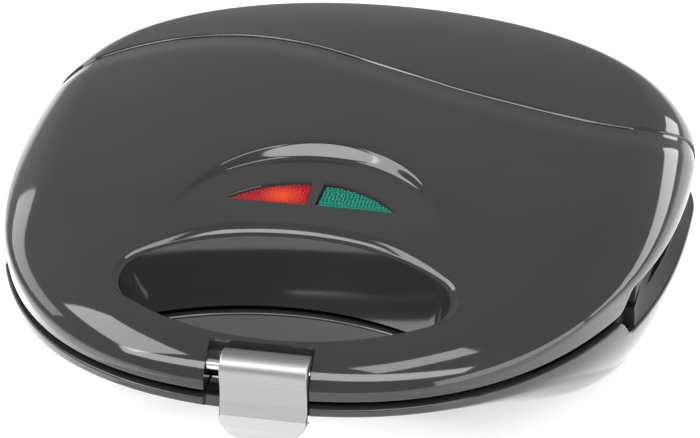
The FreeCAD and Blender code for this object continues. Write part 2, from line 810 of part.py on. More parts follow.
def plate_shape():
    # top of the flange at zero, pockets below it
    plate = rounded_block(dim.plate_width, dim.plate_depth, dim.plate_corner, -dim.plate_flange, 0)
    triangles = pocket_triangles()
    for corners in triangles:
        plate = plate.fuse(pocket_form(corners, dim.pocket_wall, 0, -pocket_back))
    for y in (dim.post_front_y, dim.post_rear_y):
        plate = plate.fuse(column(dim.post_radius, 0, y, -shield_offset, -dim.plate_flange / 2))
    for corners in triangles:
        plate = plate.cut(pocket_form(corners, 0, 0, -dim.pocket_depth))
    for y in (dim.post_front_y, dim.post_rear_y):
        pilot = dim.screw_radius + dim.press_fit
        plate = plate.cut(column(pilot, 0, y, -shield_offset, -shield_offset + dim.shield_screw_length))
    for x, y in plate_screw_places():
        pilot = dim.plate_screw_radius + dim.press_fit
        plate = plate.cut(column(pilot, x, y, -dim.plate_flange, -dim.plate_flange + dim.plate_screw_bite))
    return single(plate)


def over(shape, z):
    # the lower half's shape, turned over for the lid with its face at this height
    turned = shape.mirror(Vector(), Vector(0, 0, 1))
    turned.translate(Vector(0, 0, z))
    return turned


def under(shape, z):
    lowered = shape.copy()
    lowered.translate(Vector(0, 0, z))
    return lowered


def tube_path(points, bend):
    # straight runs joined by arcs of one bend radius
    edges = []
    last = points[0]
    for before, here, after in zip(points, points[1:], points[2:]):
        back, ahead = (before - here).normalize(), (after - here).normalize()
        half_angle = back.getAngle(ahead) / 2
        reach = bend / math.tan(half_angle)
        middle = here + (back + ahead).normalize() * (bend / math.sin(half_angle) - bend)
        start, end = here + back * reach, here + ahead * reach
        edges.append(Part.makeLine(last, start))
        edges.append(Part.Arc(start, middle, end).toShape())
        last = end
    edges.append(Part.makeLine(last, points[-1]))
    return Part.Wire(edges)


def tube(points, radius, bend):
    path = tube_path(points, bend)
    way = points[1] - points[0]
    section = Part.Wire(Part.makeCircle(radius, points[0], way))
    return path.makePipeShell([section], True, True)


def heater_shape():
    x, y0, y1 = dim.heater_half_span, dim.heater_front_y, dim.heater_rear_y
    z = -heater_offset
    points = [Vector(-x, y1, z), Vector(-x, y0, z), Vector(x, y0, z), Vector(x, y1, z)]
    return tube(points, dim.heater_radius, dim.heater_bend)


def shield_shape():
    # channel of sheet metal, open at both ends, turned up along its sides
    half, deep = dim.shield_width / 2, dim.shield_depth / 2
    thick = dim.shield_thickness
    top = -shield_offset + dim.shield_side
    bottom = -shield_offset - thick
    outer = solid_box(-half, half, dim.plate_y - deep, dim.plate_y + deep, bottom, top)
    inner = solid_box(-half + thick, half - thick, dim.plate_y - deep - dim.overrun,
                      dim.plate_y + deep + dim.overrun, -shield_offset, top + dim.overrun)
    sheet_metal = outer.cut(inner)
    for y in (dim.post_front_y, dim.post_rear_y):
        hole = column(dim.screw_radius + dim.hole_room, 0, y, bottom - dim.overrun, top)
        sheet_metal = sheet_metal.cut(hole)
    return single(sheet_metal)


def make_halves():
    for label, shape in (("plate", plate_shape()), ("heater", heater_shape()), ("shield", shield_shape())):
        feature("lower_" + label, under(shape, lower_flange_top))
        feature("upper_" + label, over(shape, upper_flange_bottom))


# Control parts


def make_thermostat():
    body = turned_body("base_thermostat", [
        ("0", "0"),
        ("thermostat_radius", "0"),
        ("thermostat_radius", "-thermostat_cap"),
        ("thermostat_body_radius", "-thermostat_cap"),
        ("thermostat_body_radius", "-thermostat_height"),
        ("0", "-thermostat_height"),
    ])
    seat = "seam_height - plate_meet / 2 - pocket_depth - pocket_wall - press_fit"
    return place(body, "control_x", "control_y", seat)


def make_fuse():
    rise = "seam_height + plate_meet / 2 + pocket_depth + pocket_wall + press_fit + fuse_radius"
    return cylinder("thermal_fuse", "fuse_radius", "fuse_length", "-control_x - fuse_length / 2",
                    "control_y", rise, "x")


def make_lens(label, side):
    clear = dim.running_fit
    face = light_form(side, -clear)
    flange_top = dim.wall + dim.press_fit
    flange_bottom = flange_top + dim.lens_flange_thickness
    window = face.common(platform_slab(dim.lens_sink, flange_bottom))
    flange = light_form(side, dim.lens_flange).common(platform_slab(flange_top, flange_bottom))
    return feature(label, single(window.fuse(flange)))


def make_lamp(label, side):
    x = f"{side} * lamp_x - lamp_length / 2"
    return cylinder(label, "lamp_radius", "lamp_length", x, "lamp_y", "seam_height + lamp_height", "x")


def make_lamp_holder():
    tray = box("holder_tray", "holder_width", "holder_depth", "holder_thickness", "-holder_width / 2",
               "lamp_y - holder_depth / 2", "seam_height + lamp_height - lamp_radius - holder_thickness")
    parts = [tray]
    tools = []
    for side, word in ((-1, "left"), (1, "right")):
        saddle = box("saddle_" + word, "saddle_width", "holder_depth - 2 * wall", "lamp_radius",
                     f"{side} * lamp_x - saddle_width / 2", "lamp_y - holder_depth / 2 + wall",
                     "seam_height + lamp_height - lamp_radius - press_fit")
        parts.append(saddle)
        seat = cylinder("seat_" + word, "lamp_radius + press_fit", "lamp_length",
                        f"{side} * lamp_x - lamp_length / 2", "lamp_y", "seam_height + lamp_height", "x")
        hole = cylinder("holder_hole_" + word, "screw_radius + hole_room", "holder_thickness + 2 * overrun",
                        f"{side} * holder_screw_x", "lamp_y",
                        "seam_height + lamp_height - lamp_radius - holder_thickness - overrun")
        tools += [seat, hole]
    return cut("lamp_holder", fuse("holder_blank", parts), fuse("holder_cuts", tools))


def make_terminal_block():
    block = box("block_blank", "block_width", "block_depth", "block_height", "-block_width / 2",
                "block_y - block_depth / 2", "floor_gap + pad_rise + wall + fit")
    holes = []
    for step, word in ((-1, "left"), (0, "middle"), (1, "right")):
        hole = cylinder("block_hole_" + word, "block_hole_radius", "block_depth + 2 * overrun",
                        f"{step} * block_pitch", "block_y - block_depth / 2 - overrun",
                        "floor_gap + pad_rise + wall + fit + block_height / 2", "y")
        holes.append(hole)
    return cut("terminal_block", block, fuse("block_holes", holes))


def make_gland():
    # neck in the wall slot, a flange on each side of the wall, bored for the cord
    wall_out = dim.widest_y + dim.rear_reach
    wall_in = rear_wall_in
    spans = [
        (dim.gland_neck - dim.press_fit, wall_in - dim.gland_play, wall_out + dim.fit),
        (dim.gland_flange, wall_in - dim.gland_play - dim.gland_flange_thickness, wall_in - dim.gland_play),
        (dim.gland_flange, wall_out + dim.fit, wall_out + dim.fit + dim.gland_flange_thickness),
    ]
    body = None
    for half, y0, y1 in spans:
        foot = Part.makeCylinder(half, y1 - y0, Vector(0, y0, gland_z), Vector(0, 1, 0))
        layer = foot.fuse(solid_box(-half, half, y0, y1, gland_z, base_rim - dim.fit))
        body = layer if body is None else body.fuse(layer)
    bore_start = Vector(0, wall_in - 2 * dim.overrun, gland_z)
    bore = Part.makeCylinder(dim.gland_bore, dim.hinge_y - bore_start.y, bore_start, Vector(0, 1, 0))
    return feature("cord_gland", single(body.cut(bore).removeSplitter()))


def make_leads():
    # base: from the gland down to the block, and from the block up to the heater ends
    z_block = floor_z + dim.wall + dim.fit + dim.block_height / 2
    z_heater = lower_flange_top - heater_offset
    gland_y = rear_wall_in - dim.gland_play - dim.gland_flange_thickness
    block_rear = dim.block_y + dim.block_depth / 2
    turn_y = (gland_y + block_rear) / 2
    tight = 2 * dim.lead_radius
    solids = []
    for side in (-1, 1):
        near, far = side * dim.lead_spread, side * dim.block_pitch
        points = [
            Vector(near, gland_y - dim.gland_flange_thickness, gland_z),
            Vector(near, turn_y, gland_z),
            Vector(far, turn_y, z_block),
            Vector(far, block_rear - dim.wall, z_block),
        ]
        solids.append(tube(points, dim.lead_radius, tight))
        end_x = side * (dim.heater_half_span - dim.heater_radius - dim.lead_radius - dim.press_fit)
        front = dim.block_y - dim.block_depth / 2
        points = [
            Vector(far, front + dim.wall, z_block),
            Vector(far, front - dim.lead_bend, z_block),
            Vector(end_x, front - dim.lead_bend, z_heater),
            Vector(end_x, dim.heater_rear_y, z_heater),
        ]
        solids.append(tube(points, dim.lead_radius, tight))
    feature("base_leads", Part.makeCompound(solids))

    # lid: from each heater end forward, then in to the end of the lamp holder
    z_heater = upper_flange_bottom + heater_offset
    solids = []
    for side in (-1, 1):
        x = side * (dim.heater_half_span + dim.heater_radius + dim.lead_radius + dim.press_fit)
        points = [
            Vector(x, dim.heater_rear_y, z_heater),
            Vector(x, dim.lamp_y, z_heater),
            Vector(side * (dim.holder_width / 2 + dim.press_fit), dim.lamp_y, z_heater),
        ]
        solids.append(tube(points, dim.lead_radius, dim.lead_bend))
    feature("lid_leads", Part.makeCompound(solids))


# Latch, pins and feet


def make_latch():
    front = "latch_pin_y - latch_barrel"
    inner = front + " + latch_plate"
    pin_z, tab_z, hook_z = ("seam_height + " + name for name in ("latch_pin_height", "latch_tab_height", "hook_top"))
    corners = [
        (front, pin_z),
        (front, "seam_height + latch_fold_height"),
        (front + " - latch_tab_reach", tab_z),
        (front + " - latch_tab_reach + latch_tab_thickness", tab_z + " - latch_tab_thickness / 2"),
        (inner, hook_z + " - latch_plate"),
        (inner + " + hook_reach", hook_z + " - latch_plate"),
        (inner + " + hook_reach", hook_z),
        (inner, hook_z),
        (inner, pin_z),
    ]
    blade = padded_body("latch_blade", "YZ_Plane", corners, "latch_width")
    doc.recompute()
    low = dim.seam_height + dim.latch_tab_height + dim.latch_tab_thickness
    pad = blade.Tip
    edges = []
    for index, edge in enumerate(pad.Shape.Edges, 1):
        middle = edge.CenterOfMass
        upright = abs(edge.BoundBox.XLength) < dim.press_fit and edge.Length < 2 * dim.latch_tab_thickness
        if upright and middle.z < low and middle.y < dim.latch_pin_y - dim.latch_barrel - dim.press_fit:
            edges.append(f"Edge{index}")
    place(blade, "latch_shift")
    rounding = blade.newObject("PartDesign::Fillet", "latch_rounding")
    rounding.Base = (pad, edges)
    rounding.setExpression("Radius", bound("latch_corner"))
    barrel = cylinder("latch_barrel_rod", "latch_barrel", "latch_width", "latch_shift - latch_width / 2",
                      "latch_pin_y", pin_z, "x")
    bore = cylinder("latch_bore", "latch_pin_radius + running_fit", "latch_width + 2 * overrun",
                    "latch_shift - latch_width / 2 - overrun", "latch_pin_y", pin_z, "x")
    return cut("latch", fuse("latch_blank", [blade, barrel]), bore)


def make_pins():
    cylinder("latch_pin", "latch_pin_radius", "notch_width + 2 * latch_pin_tail",
             "-notch_width / 2 - latch_pin_tail", "latch_pin_y", "seam_height + latch_pin_height", "x")
    length = "knuckle_width + 2 * ear_width + 2 * side_play"
    for side, word in ((-1, "left"), (1, "right")):
        start = f"{side} * hinge_x - knuckle_width / 2 - ear_width - side_play"
        cylinder("hinge_pin_" + word, "hinge_pin_radius", length, start, "hinge_y", "seam_height", "x")


def make_feet():
    for side, across in ((-1, "left"), (1, "right")):
        for y, along in (("foot_front_y", "front"), ("foot_rear_y", "rear")):
            body = turned_body(f"foot_{along}_{across}", [
                ("0", "0"),
                ("foot_radius", "0"),
                ("foot_radius + foot_draft", "floor_gap"),
                ("foot_plug_radius", "floor_gap"),
                ("foot_plug_radius", "floor_gap + wall"),
                ("0", "floor_gap + wall"),
            ])
            place(body, f"{side} * foot_x", y)


# Screws: one profile each, repeated as separate solids


def screw_shape(head_radius, head, radius, length):
    # head on top of zero, shank below
    return column(head_radius, 0, 0, 0, head).fuse(column(radius, 0, 0, -length, 0)).removeSplitter()


def screw_group(label, shape, places, z, pointing_up):
    solids = []
    for x, y in places:
        screw = shape.mirror(Vector(), Vector(0, 0, 1)) if pointing_up else shape.copy()
        screw.translate(Vector(x, y, z))
        solids.append(screw.Solids[0])
    return feature(label, Part.makeCompound(solids))


def make_screws():
    case_screw = screw_shape(dim.screw_head_radius, dim.screw_head, dim.screw_radius, dim.screw_length)
    screw_group("base_screws", case_screw, screw_places, base_frame_top, False)
    screw_group("lid_screws", case_screw, screw_places, lid_frame_bottom, True)
    length = dim.frame_thickness + dim.plate_screw_bite
    small = screw_shape(dim.plate_screw_head_radius, dim.plate_screw_head, dim.plate_screw_radius, length)
    screw_group("lower_plate_screws", small, plate_screw_places(), base_frame_bottom, True)
    screw_group("upper_plate_screws", small, plate_screw_places(), lid_frame_top, False)
    length = dim.shield_thickness + dim.shield_screw_length
    shield_screw = screw_shape(dim.screw_head_radius, dim.screw_head, dim.screw_radius, length)
    posts = [(0, dim.post_front_y), (0, dim.post_rear_y)]
    shield_bottom = lower_flange_top - shield_offset - dim.shield_thickness
    shield_top = upper_flange_bottom + shield_offset + dim.shield_thickness
    screw_group("lower_shield_screws", shield_screw, posts, shield_bottom, True)
    screw_group("upper_shield_screws", shield_screw, posts, shield_top, False)
    holder_bottom = lamp_z - dim.lamp_radius - dim.holder_thickness
    places = [(side * dim.holder_screw_x, dim.lamp_y) for side in (-1, 1)]
    screw_group("lamp_screws", shield_screw, places, holder_bottom, True)


make_lid_shell()
make_base_shell()
make_frame("base_frame", base_frame_bottom, base_frame_top, base_rim, dim.seam_height - dim.base_groove, True)
make_frame("lid_frame", lid_frame_bottom, lid_frame_top, lid_rim, dim.seam_height + dim.lid_groove, False)
make_halves()
make_thermostat()
make_fuse()
make_lens("red_lens", -1)
make_lens("green_lens", 1)
make_lamp("red_lamp", -1)
make_lamp("green_lamp", 1)
make_lamp_holder()
make_terminal_block()
make_gland()
make_leads()
make_latch()
make_pins()
make_feet()
make_screws()
doc.recompute()

nodes = [
    "lid_shell", "base_shell", "lid_frame", "base_frame", "lower_plate", "upper_plate",
    "lower_heater", "upper_heater", "lower_shield", "upper_shield", "base_thermostat", "thermal_fuse",
    "red_lens", "green_lens", "red_lamp", "green_lamp", "lamp_holder", "terminal_block", "cord_gland",
    "base_leads", "lid_leads", "latch", "latch_pin", "hinge_pin_left", "hinge_pin_right",
    "foot_front_left", "foot_front_right", "foot_rear_left", "foot_rear_right", "base_screws",
    "lid_screws", "lower_plate_screws", "upper_plate_screws", "lower_shield_screws",
    "upper_shield_screws", "lamp_screws",
]

for made in doc.Objects:
    if "Invalid" in made.State or "Error" in made.State:
        raise RuntimeError(f"{made.Label} did not recompute")

os.makedirs("parts", exist_ok=True)
for label in nodes:
    made = doc.getObjectsByLabel(label)[0]
    shape = made.Shape
    if shape.isNull() or not shape.isValid():
        raise RuntimeError(f"{label} has no valid shape")
    shape.exportStep(f"parts/{label}.step")
    print(label, len(shape.Solids), round(shape.Volume))
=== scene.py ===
import math

import bmesh
import bpy
import numpy as np
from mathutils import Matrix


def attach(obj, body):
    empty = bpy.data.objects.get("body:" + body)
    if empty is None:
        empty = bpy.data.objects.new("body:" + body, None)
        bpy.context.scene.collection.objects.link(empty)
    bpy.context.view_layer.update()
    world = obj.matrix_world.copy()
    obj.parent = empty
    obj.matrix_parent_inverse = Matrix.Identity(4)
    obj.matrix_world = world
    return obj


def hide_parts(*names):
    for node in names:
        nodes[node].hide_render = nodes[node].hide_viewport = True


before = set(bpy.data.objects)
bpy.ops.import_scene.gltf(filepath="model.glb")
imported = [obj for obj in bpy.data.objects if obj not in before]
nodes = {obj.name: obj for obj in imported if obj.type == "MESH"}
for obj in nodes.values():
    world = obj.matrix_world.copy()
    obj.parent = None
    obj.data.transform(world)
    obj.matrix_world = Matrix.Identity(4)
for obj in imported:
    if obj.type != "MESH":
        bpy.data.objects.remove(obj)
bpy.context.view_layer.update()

scene = bpy.context.scene
scene.view_settings.view_transform = "Standard"
mm = .001   # shapes are worked out in millimetres and written in metres
print("frame loaded,", len(nodes), "nodes")


# finishes

noiseSpan = (.3, .7)   # most of the noise lies between these
grainDepth, lineDepth = .0002, .0001   # metres


def newFinish(name):
    material = bpy.data.materials.new(name)
    material.use_nodes = True
    tree = material.node_tree
    place = tree.nodes.new("ShaderNodeTexCoord")
    return material, tree, tree.nodes["Principled BSDF"], place.outputs["Object"]


def addNoise(tree, place, scale, detail):
    noise = tree.nodes.new("ShaderNodeTexNoise")
    noise.inputs["Scale"].default_value = scale
    noise.inputs["Detail"].default_value = detail
    tree.links.new(place, noise.inputs["Vector"])
    return noise.outputs["Fac"]


def addRamp(tree, factor, low, high, start=.35, end=.65):
    ramp = tree.nodes.new("ShaderNodeValToRGB")
    ramp.color_ramp.elements[0].position = start
    ramp.color_ramp.elements[0].color = (*low, 1)
    ramp.color_ramp.elements[1].position = end
    ramp.color_ramp.elements[1].color = (*high, 1)
    tree.links.new(factor, ramp.inputs["Fac"])
    return ramp.outputs["Color"]


def addRange(tree, factor, low, high):
    spread = tree.nodes.new("ShaderNodeMapRange")
    spread.inputs["From Min"].default_value = noiseSpan[0]
    spread.inputs["From Max"].default_value = noiseSpan[1]
    spread.inputs["To Min"].default_value = low
    spread.inputs["To Max"].default_value = high
    tree.links.new(factor, spread.inputs["Value"])
    return spread.outputs["Result"]


def addBump(tree, shader, height, strength, distance):
    bump = tree.nodes.new("ShaderNodeBump")
    bump.inputs["Strength"].default_value = strength
    bump.inputs["Distance"].default_value = distance
    tree.links.new(height, bump.inputs["Height"])
    tree.links.new(bump.outputs["Normal"], shader.inputs["Normal"])


# patches of two near colours, roughness that drifts with them, and a fine grain in the normal
def mottled(name, low, high, rough, patch, grain, relief, metallic=0, **sockets):
    material, tree, shader, place = newFinish(name)
    patches = addNoise(tree, place, patch, 3)
    tree.links.new(addRamp(tree, patches, low, high), shader.inputs["Base Color"])
    tree.links.new(addRange(tree, patches, *rough), shader.inputs["Roughness"])
    addBump(tree, shader, addNoise(tree, place, grain, 2), relief, grainDepth)
    shader.inputs["Metallic"].default_value = metallic
    for socket, value in sockets.items():
        shader.inputs[socket.replace("_", " ")].default_value = value
    return material


# metal with fine lines drawn along X: noise stretched along the axis
def drawnMetal(name, low, high, rough, stretch, relief):
    material, tree, shader, place = newFinish(name)
    mapping = tree.nodes.new("ShaderNodeMapping")
    mapping.inputs["Scale"].default_value = stretch
    tree.links.new(place, mapping.inputs["Vector"])
    lines = addNoise(tree, mapping.outputs["Vector"], 1, 3)
    tree.links.new(addRamp(tree, lines, low, high, *noiseSpan), shader.inputs["Base Color"])
    tree.links.new(addRange(tree, lines, *rough), shader.inputs["Roughness"])
    addBump(tree, shader, lines, relief, lineDepth)
    shader.inputs["Metallic"].default_value = 1
    return material


# coated plate: dark coat with pale flecks
def fleckedCoat(name, ground, fleck, rough, spots, spotEdge, patch, grain, relief):
    material, tree, shader, place = newFinish(name)
    flecks = tree.nodes.new("ShaderNodeTexVoronoi")
    flecks.inputs["Scale"].default_value = spots
    tree.links.new(place, flecks.inputs["Vector"])
    colour = addRamp(tree, flecks.outputs["Distance"], fleck, ground, *spotEdge)
    tree.links.new(colour, shader.inputs["Base Color"])
    drift = addNoise(tree, place, patch, 3)
    tree.links.new(addRange(tree, drift, *rough), shader.inputs["Roughness"])
    addBump(tree, shader, addNoise(tree, place, grain, 2), relief, grainDepth)
    return material


window = {
    "check": 1250, "checkTurn": math.pi / 4, "patch": 160, "rough": (.1, .18),
    "grain": 2600, "relief": .06, "specular": .3,
}


# window plastic: a fine turned check of painted prism shade, darker and lighter squares of its colour
# standing in for the shaded and lit facets of its prisms, and where it is lit, a glow that falls away from
# the lamp
def windowPlastic(name, low, high, glow=None):
    material, tree, shader, place = newFinish(name)
    turned = tree.nodes.new("ShaderNodeMapping")
    turned.inputs["Rotation"].default_value = (0, 0, window["checkTurn"])
    tree.links.new(place, turned.inputs["Vector"])
    # painted prism shade: the check's two colours stand in for shaded and lit prism facets
    prismShade = tree.nodes.new("ShaderNodeTexChecker")
    prismShade.inputs["Scale"].default_value = window["check"]
    prismShade.inputs["Color1"].default_value = (*low, 1)
    prismShade.inputs["Color2"].default_value = (*high, 1)
    tree.links.new(turned.outputs["Vector"], prismShade.inputs["Vector"])
    tree.links.new(prismShade.outputs["Color"], shader.inputs["Base Color"])
    patches = addNoise(tree, place, window["patch"], 2)
    tree.links.new(addRange(tree, patches, *window["rough"]), shader.inputs["Roughness"])
    addBump(tree, shader, addNoise(tree, place, window["grain"], 1), window["relief"], lineDepth)
    shader.inputs["Specular IOR Level"].default_value = window["specular"]
    if glow:
        mapping = tree.nodes.new("ShaderNodeMapping")
        mapping.vector_type = "TEXTURE"
        mapping.inputs["Location"].default_value = glow["place"]
        mapping.inputs["Scale"].default_value = glow["reach"]
        tree.links.new(place, mapping.inputs["Vector"])
        ball = tree.nodes.new("ShaderNodeTexGradient")
        ball.gradient_type = "SPHERICAL"
        tree.links.new(mapping.outputs["Vector"], ball.inputs["Vector"])
        colour = addRamp(tree, ball.outputs["Fac"], glow["far"], glow["near"], *glow["span"])
        tree.links.new(colour, shader.inputs["Emission Color"])
        shader.inputs["Emission Strength"].default_value = glow["strength"]
    return material


finishes = {
    "gloss": mottled("glossCasing", (.018, .018, .0187), (.022, .022, .0227), (.05, .08),
                     patch=14, grain=90, relief=.015, IOR=1.5),
    "frame": mottled("grainedFrame", (.006, .006, .0065), (.01, .01, .011), (.42, .54),
                     patch=40, grain=1500, relief=.35, Specular_IOR_Level=.2),
    "coat": fleckedCoat("nonStickCoat", (.012, .012, .013), (.09, .09, .095), (.3, .42),
                        spots=900, spotEdge=(.1, .2), patch=60, grain=1800, relief=.15),
    "latch": drawnMetal("satinLatch", (.27, .27, .275), (.31, .31, .315), (.36, .42),
                        stretch=(14, 2600, 2600), relief=.05),
    "steel": drawnMetal("brightSteel", (.5, .5, .51), (.62, .62, .63), (.2, .3),
                        stretch=(60, 1500, 1500), relief=.1),
    "sheet": drawnMetal("rolledSheet", (.6, .61, .62), (.72, .73, .74), (.28, .4),
                        stretch=(30, 900, 900), relief=.15),
    "element": mottled("heaterTube", (.07, .065, .06), (.16, .15, .14), (.4, .55),
                       patch=90, grain=1600, relief=.3, metallic=1),
    "ceramic": mottled("creamCeramic", (.62, .58, .5), (.72, .68, .6), (.5, .62),
                       patch=120, grain=1400, relief=.25),
    "fuse": mottled("fuseSleeve", (.55, .53, .48), (.66, .64, .6), (.42, .52),
                    patch=150, grain=1500, relief=.25),
    "gland": mottled("glandRubber", (.012, .012, .012), (.02, .02, .02), (.5, .6),
                     patch=90, grain=1300, relief=.35),
    "sleeve": mottled("leadSleeve", (.42, .4, .37), (.52, .5, .46), (.55, .65),
                      patch=200, grain=2500, relief=.4),
    "foot": mottled("footRubber", (.01, .01, .01), (.018, .018, .018), (.62, .74),
                    patch=70, grain=1600, relief=.4),
    "glass": mottled("lampGlass", (.62, .34, .24), (.7, .42, .3), (.08, .14),
                     patch=200, grain=900, relief=.05, Transmission_Weight=.6),
    "red": windowPlastic("redWindow", (.1, .0008, .003), (.3, .004, .01), {
        "place": (-.0105, -.0365, .0706), "reach": (.009, .007, .007),
        "near": (1, .13, .006), "far": (.2, .001, .006), "span": (.1, .8), "strength": .55}),
    "green": windowPlastic("greenWindow", (.0008, .05, .035), (.003, .21, .14)),
}
print("finishes ready:", len(finishes))


# working tools

halvings = 44
weldApart = 2e-6   # metres


# smooth step from 0 to 1
def ease(share):
    share = np.clip(share, 0, 1)
    return share * share * (3 - 2 * share)


# root of a rising function by halving the span, for whole arrays at once
def solve(rising, low, high):
    for turn in range(halvings):
        middle = (low + high) / 2
        over = rising(middle) > 0
        low, high = np.where(over, low, middle), np.where(over, middle, high)
    return (low + high) / 2


# four corners of each cell between neighbouring columns and rows
def gridQuads(columns, rows, wrap, flip=False):
    c, r = np.meshgrid(np.arange(columns if wrap else columns - 1), np.arange(rows - 1), indexing="ij")
    n = (c + 1) % columns
    quads = np.stack([c * rows + r, n * rows + r, n * rows + r + 1, c * rows + r + 1], -1).reshape(-1, 4)
    return quads[:, ::-1] if flip else quads


# points in millimetres to a smooth shaded piece that rides on its body
def addPiece(name, points, faces, finish, body, replaced=(), crease=34):
    mesh = bpy.data.meshes.new(name)
    mesh.from_pydata((np.reshape(points, (-1, 3)) * mm).tolist(), [], [list(face) for face in faces])
    form = bmesh.new()
    form.from_mesh(mesh)
    bmesh.ops.remove_doubles(form, verts=form.verts, dist=weldApart)
    form.to_mesh(mesh)
    form.free()
    mesh.polygons.foreach_set("use_smooth", np.ones(len(mesh.polygons), dtype=bool))
    mesh.set_sharp_from_angle(angle=math.radians(crease))
    mesh.materials.append(finishes[finish])
    piece = bpy.data.objects.new(name, mesh)
    scene.collection.objects.link(piece)
    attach(piece, body)
    if replaced:
        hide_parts(*replaced)
    print("piece", name, len(mesh.vertices), "points")
    return piece


# casing, shared by lid and base

casing = {
    "halfWidth": 116, "widestY": 47, "frontReach": 167, "rearReach": 70, "power": 2.4,
    "wall": 2.5, "innerWall": 6, "solidY": -84, "turnApart": .004, "rollPace": 1.3,
    "rimTurns": (30, 60, 90), "backShares": (.4, .8, 1),
    "grooveFront": -47, "grooveRear": 95, "grooveRamp": 8,
    "notchX": 16.5, "notchPlay": .06,
    "columns": 430,
}

opening = {
    "middleY": -80, "endRadius": 12, "rayReach": 130,
    "rearTo": 1.6, "rearRamp": .75, "frontFrom": 1.75, "frontRamp": .7,
    "rearCentre": -148, "rearRadius": 91, "frontCentre": -23, "frontRadius": 84,
    "lean": 5, "leanTop": 70, "leanFoot": 44,
    "edgeRun": (1.2, 3), "edgeFall": (.9, 3), "edgeCurve": 1.3,   # front, rear
}


# superellipse: |x/a|^n + |(y - y0)/b|^n, a and b cut back by the inset, is 1 on the outline
def outlineValue(x, y, inset):
    along = y - casing["widestY"]
    reach = np.where(along < 0, casing["frontReach"], casing["rearReach"]) - inset
    across = x / (casing["halfWidth"] - inset)
    return np.abs(across) ** casing["power"] + np.abs(along / reach) ** casing["power"]


# inset whose superellipse passes through the point
def insetAt(x, y):
    return solve(lambda inset: outlineValue(x, y, inset) - 1, np.zeros_like(x), np.full_like(x, 66))


# outward direction on the outline: slope of the superellipse, made one long
def outward(x, y):
    along = y - casing["widestY"]
    reach = np.where(along < 0, casing["frontReach"], casing["rearReach"])
    n = casing["power"]
    dx = np.sign(x) * np.abs(x) ** (n - 1) / casing["halfWidth"] ** n
    dy = np.sign(along) * np.abs(along) ** (n - 1) / reach ** n
    length = np.hypot(dx, dy)
    return dx / length, dy / length


# distance to the finger gap: a lens of two discs, smaller by the end radius and grown by it again,
# so its ends are round
def openingDistance(x, y, rearRadius):
    end = opening["endRadius"]
    rear, front = rearRadius - end, opening["frontRadius"] - end
    span = opening["frontCentre"] - opening["rearCentre"]
    along = (rear ** 2 - front ** 2 + span ** 2) / (2 * span)
    across = np.sqrt(rear ** 2 - along ** 2)
    fromRear = np.hypot(x, y - opening["rearCentre"]) - rear
    fromFront = np.hypot(x, y - opening["frontCentre"]) - front
    qx, qy = np.abs(x) - across, y - opening["rearCentre"] - along
    beyond = (qx * along - qy * across > 0) & (qx * (span - along) + qy * across > 0)
    return np.where(beyond, np.hypot(qx, qy), np.maximum(fromRear, fromFront)) - end


# point on the ray from the gap's middle where the distance to the gap is as asked
def onRay(angle, distance, rearRadius):
    distance, rearRadius = np.asarray(distance, float), np.asarray(rearRadius, float)
    angle, distance, rearRadius = np.broadcast_arrays(angle, distance, rearRadius)
    sx, sy = np.sin(angle), np.cos(angle)
    far = solve(lambda t: openingDistance(t * sx, opening["middleY"] + t * sy, rearRadius) - distance,
                np.zeros(angle.shape), np.full(angle.shape, float(opening["rayReach"])))
    return far * sx, opening["middleY"] + far * sy


# 1 inside the side grooves' length, 0 outside
def grooveShare(y):
    ramp = casing["grooveRamp"]
    return ease((y - casing["grooveFront"]) / ramp) * ease((casing["grooveRear"] - y) / ramp)


lights = {
    "chordY": -42, "peakY": -28.7, "tipX": 28, "split": 3, "sink": .8, "pocket": 1.7,
    "prismPitch": 1.6, "prismRise": .3, "thickness": .7, "play": .22, "turnPlay": .006,
    "lip": .45, "lipLead": .5, "lipTurn": .1, "lipEdge": .08, "lipShares": (0, .06, .22, 1),
    "lensColumns": 118, "lensRows": 58, "leastHigh": .05,
}
windowHigh = lights["peakY"] - lights["chordY"]
lights["radius"] = (lights["tipX"] ** 2 + windowHigh ** 2) / (2 * windowHigh)
lights["centreY"] = lights["peakY"] - lights["radius"]
chordFar = lights["chordY"] - opening["middleY"]
tipAngle = math.atan2(lights["tipX"], chordFar)
splitAngle = math.atan2(lights["split"] / 2, chordFar)
splitInside = splitAngle + casing["turnApart"]


# reach of the window's straight edge and of its arc from the gap's middle
def windowReach(angle):
    inside = np.abs(angle) < tipAngle
    off = lights["centreY"] - opening["middleY"]
    tip = math.hypot(lights["tipX"], chordFar)
    straight = np.where(inside, chordFar / np.cos(np.where(inside, angle, 0)), tip)
    arc = off * np.cos(angle) + np.sqrt(lights["radius"] ** 2 - (off * np.sin(angle)) ** 2)
    return straight, np.where(inside, arc, tip)


# columns run from the gap out to the outline: rays at the rear and sides, straight lines along Y in front
def frontAngle(x, run):
    y = opening["frontCentre"] - math.sqrt((opening["frontRadius"] + run) ** 2 - x * x)
    return math.atan2(x, y - opening["middleY"])


notchSides = (casing["notchX"], casing["notchX"] + casing["notchPlay"])
notchAngles = [frontAngle(x, opening["edgeRun"][0]) for x in notchSides]
keyAngles = np.array([splitAngle, splitInside, tipAngle, *notchAngles])
keyAngles = np.concatenate([keyAngles, -keyAngles])
plainAngles = np.linspace(-math.pi, math.pi, casing["columns"], endpoint=False)
clear = np.min(np.abs(plainAngles[:, None] - keyAngles[None]), axis=1) > casing["turnApart"]
angles = np.sort(np.concatenate([plainAngles[clear], keyAngles]))
rearShare = ease((opening["rearTo"] - np.abs(angles)) / opening["rearRamp"])   # 1 behind the gap, 0 in front
frontShare = ease((np.abs(angles) - opening["frontFrom"]) / opening["frontRamp"])


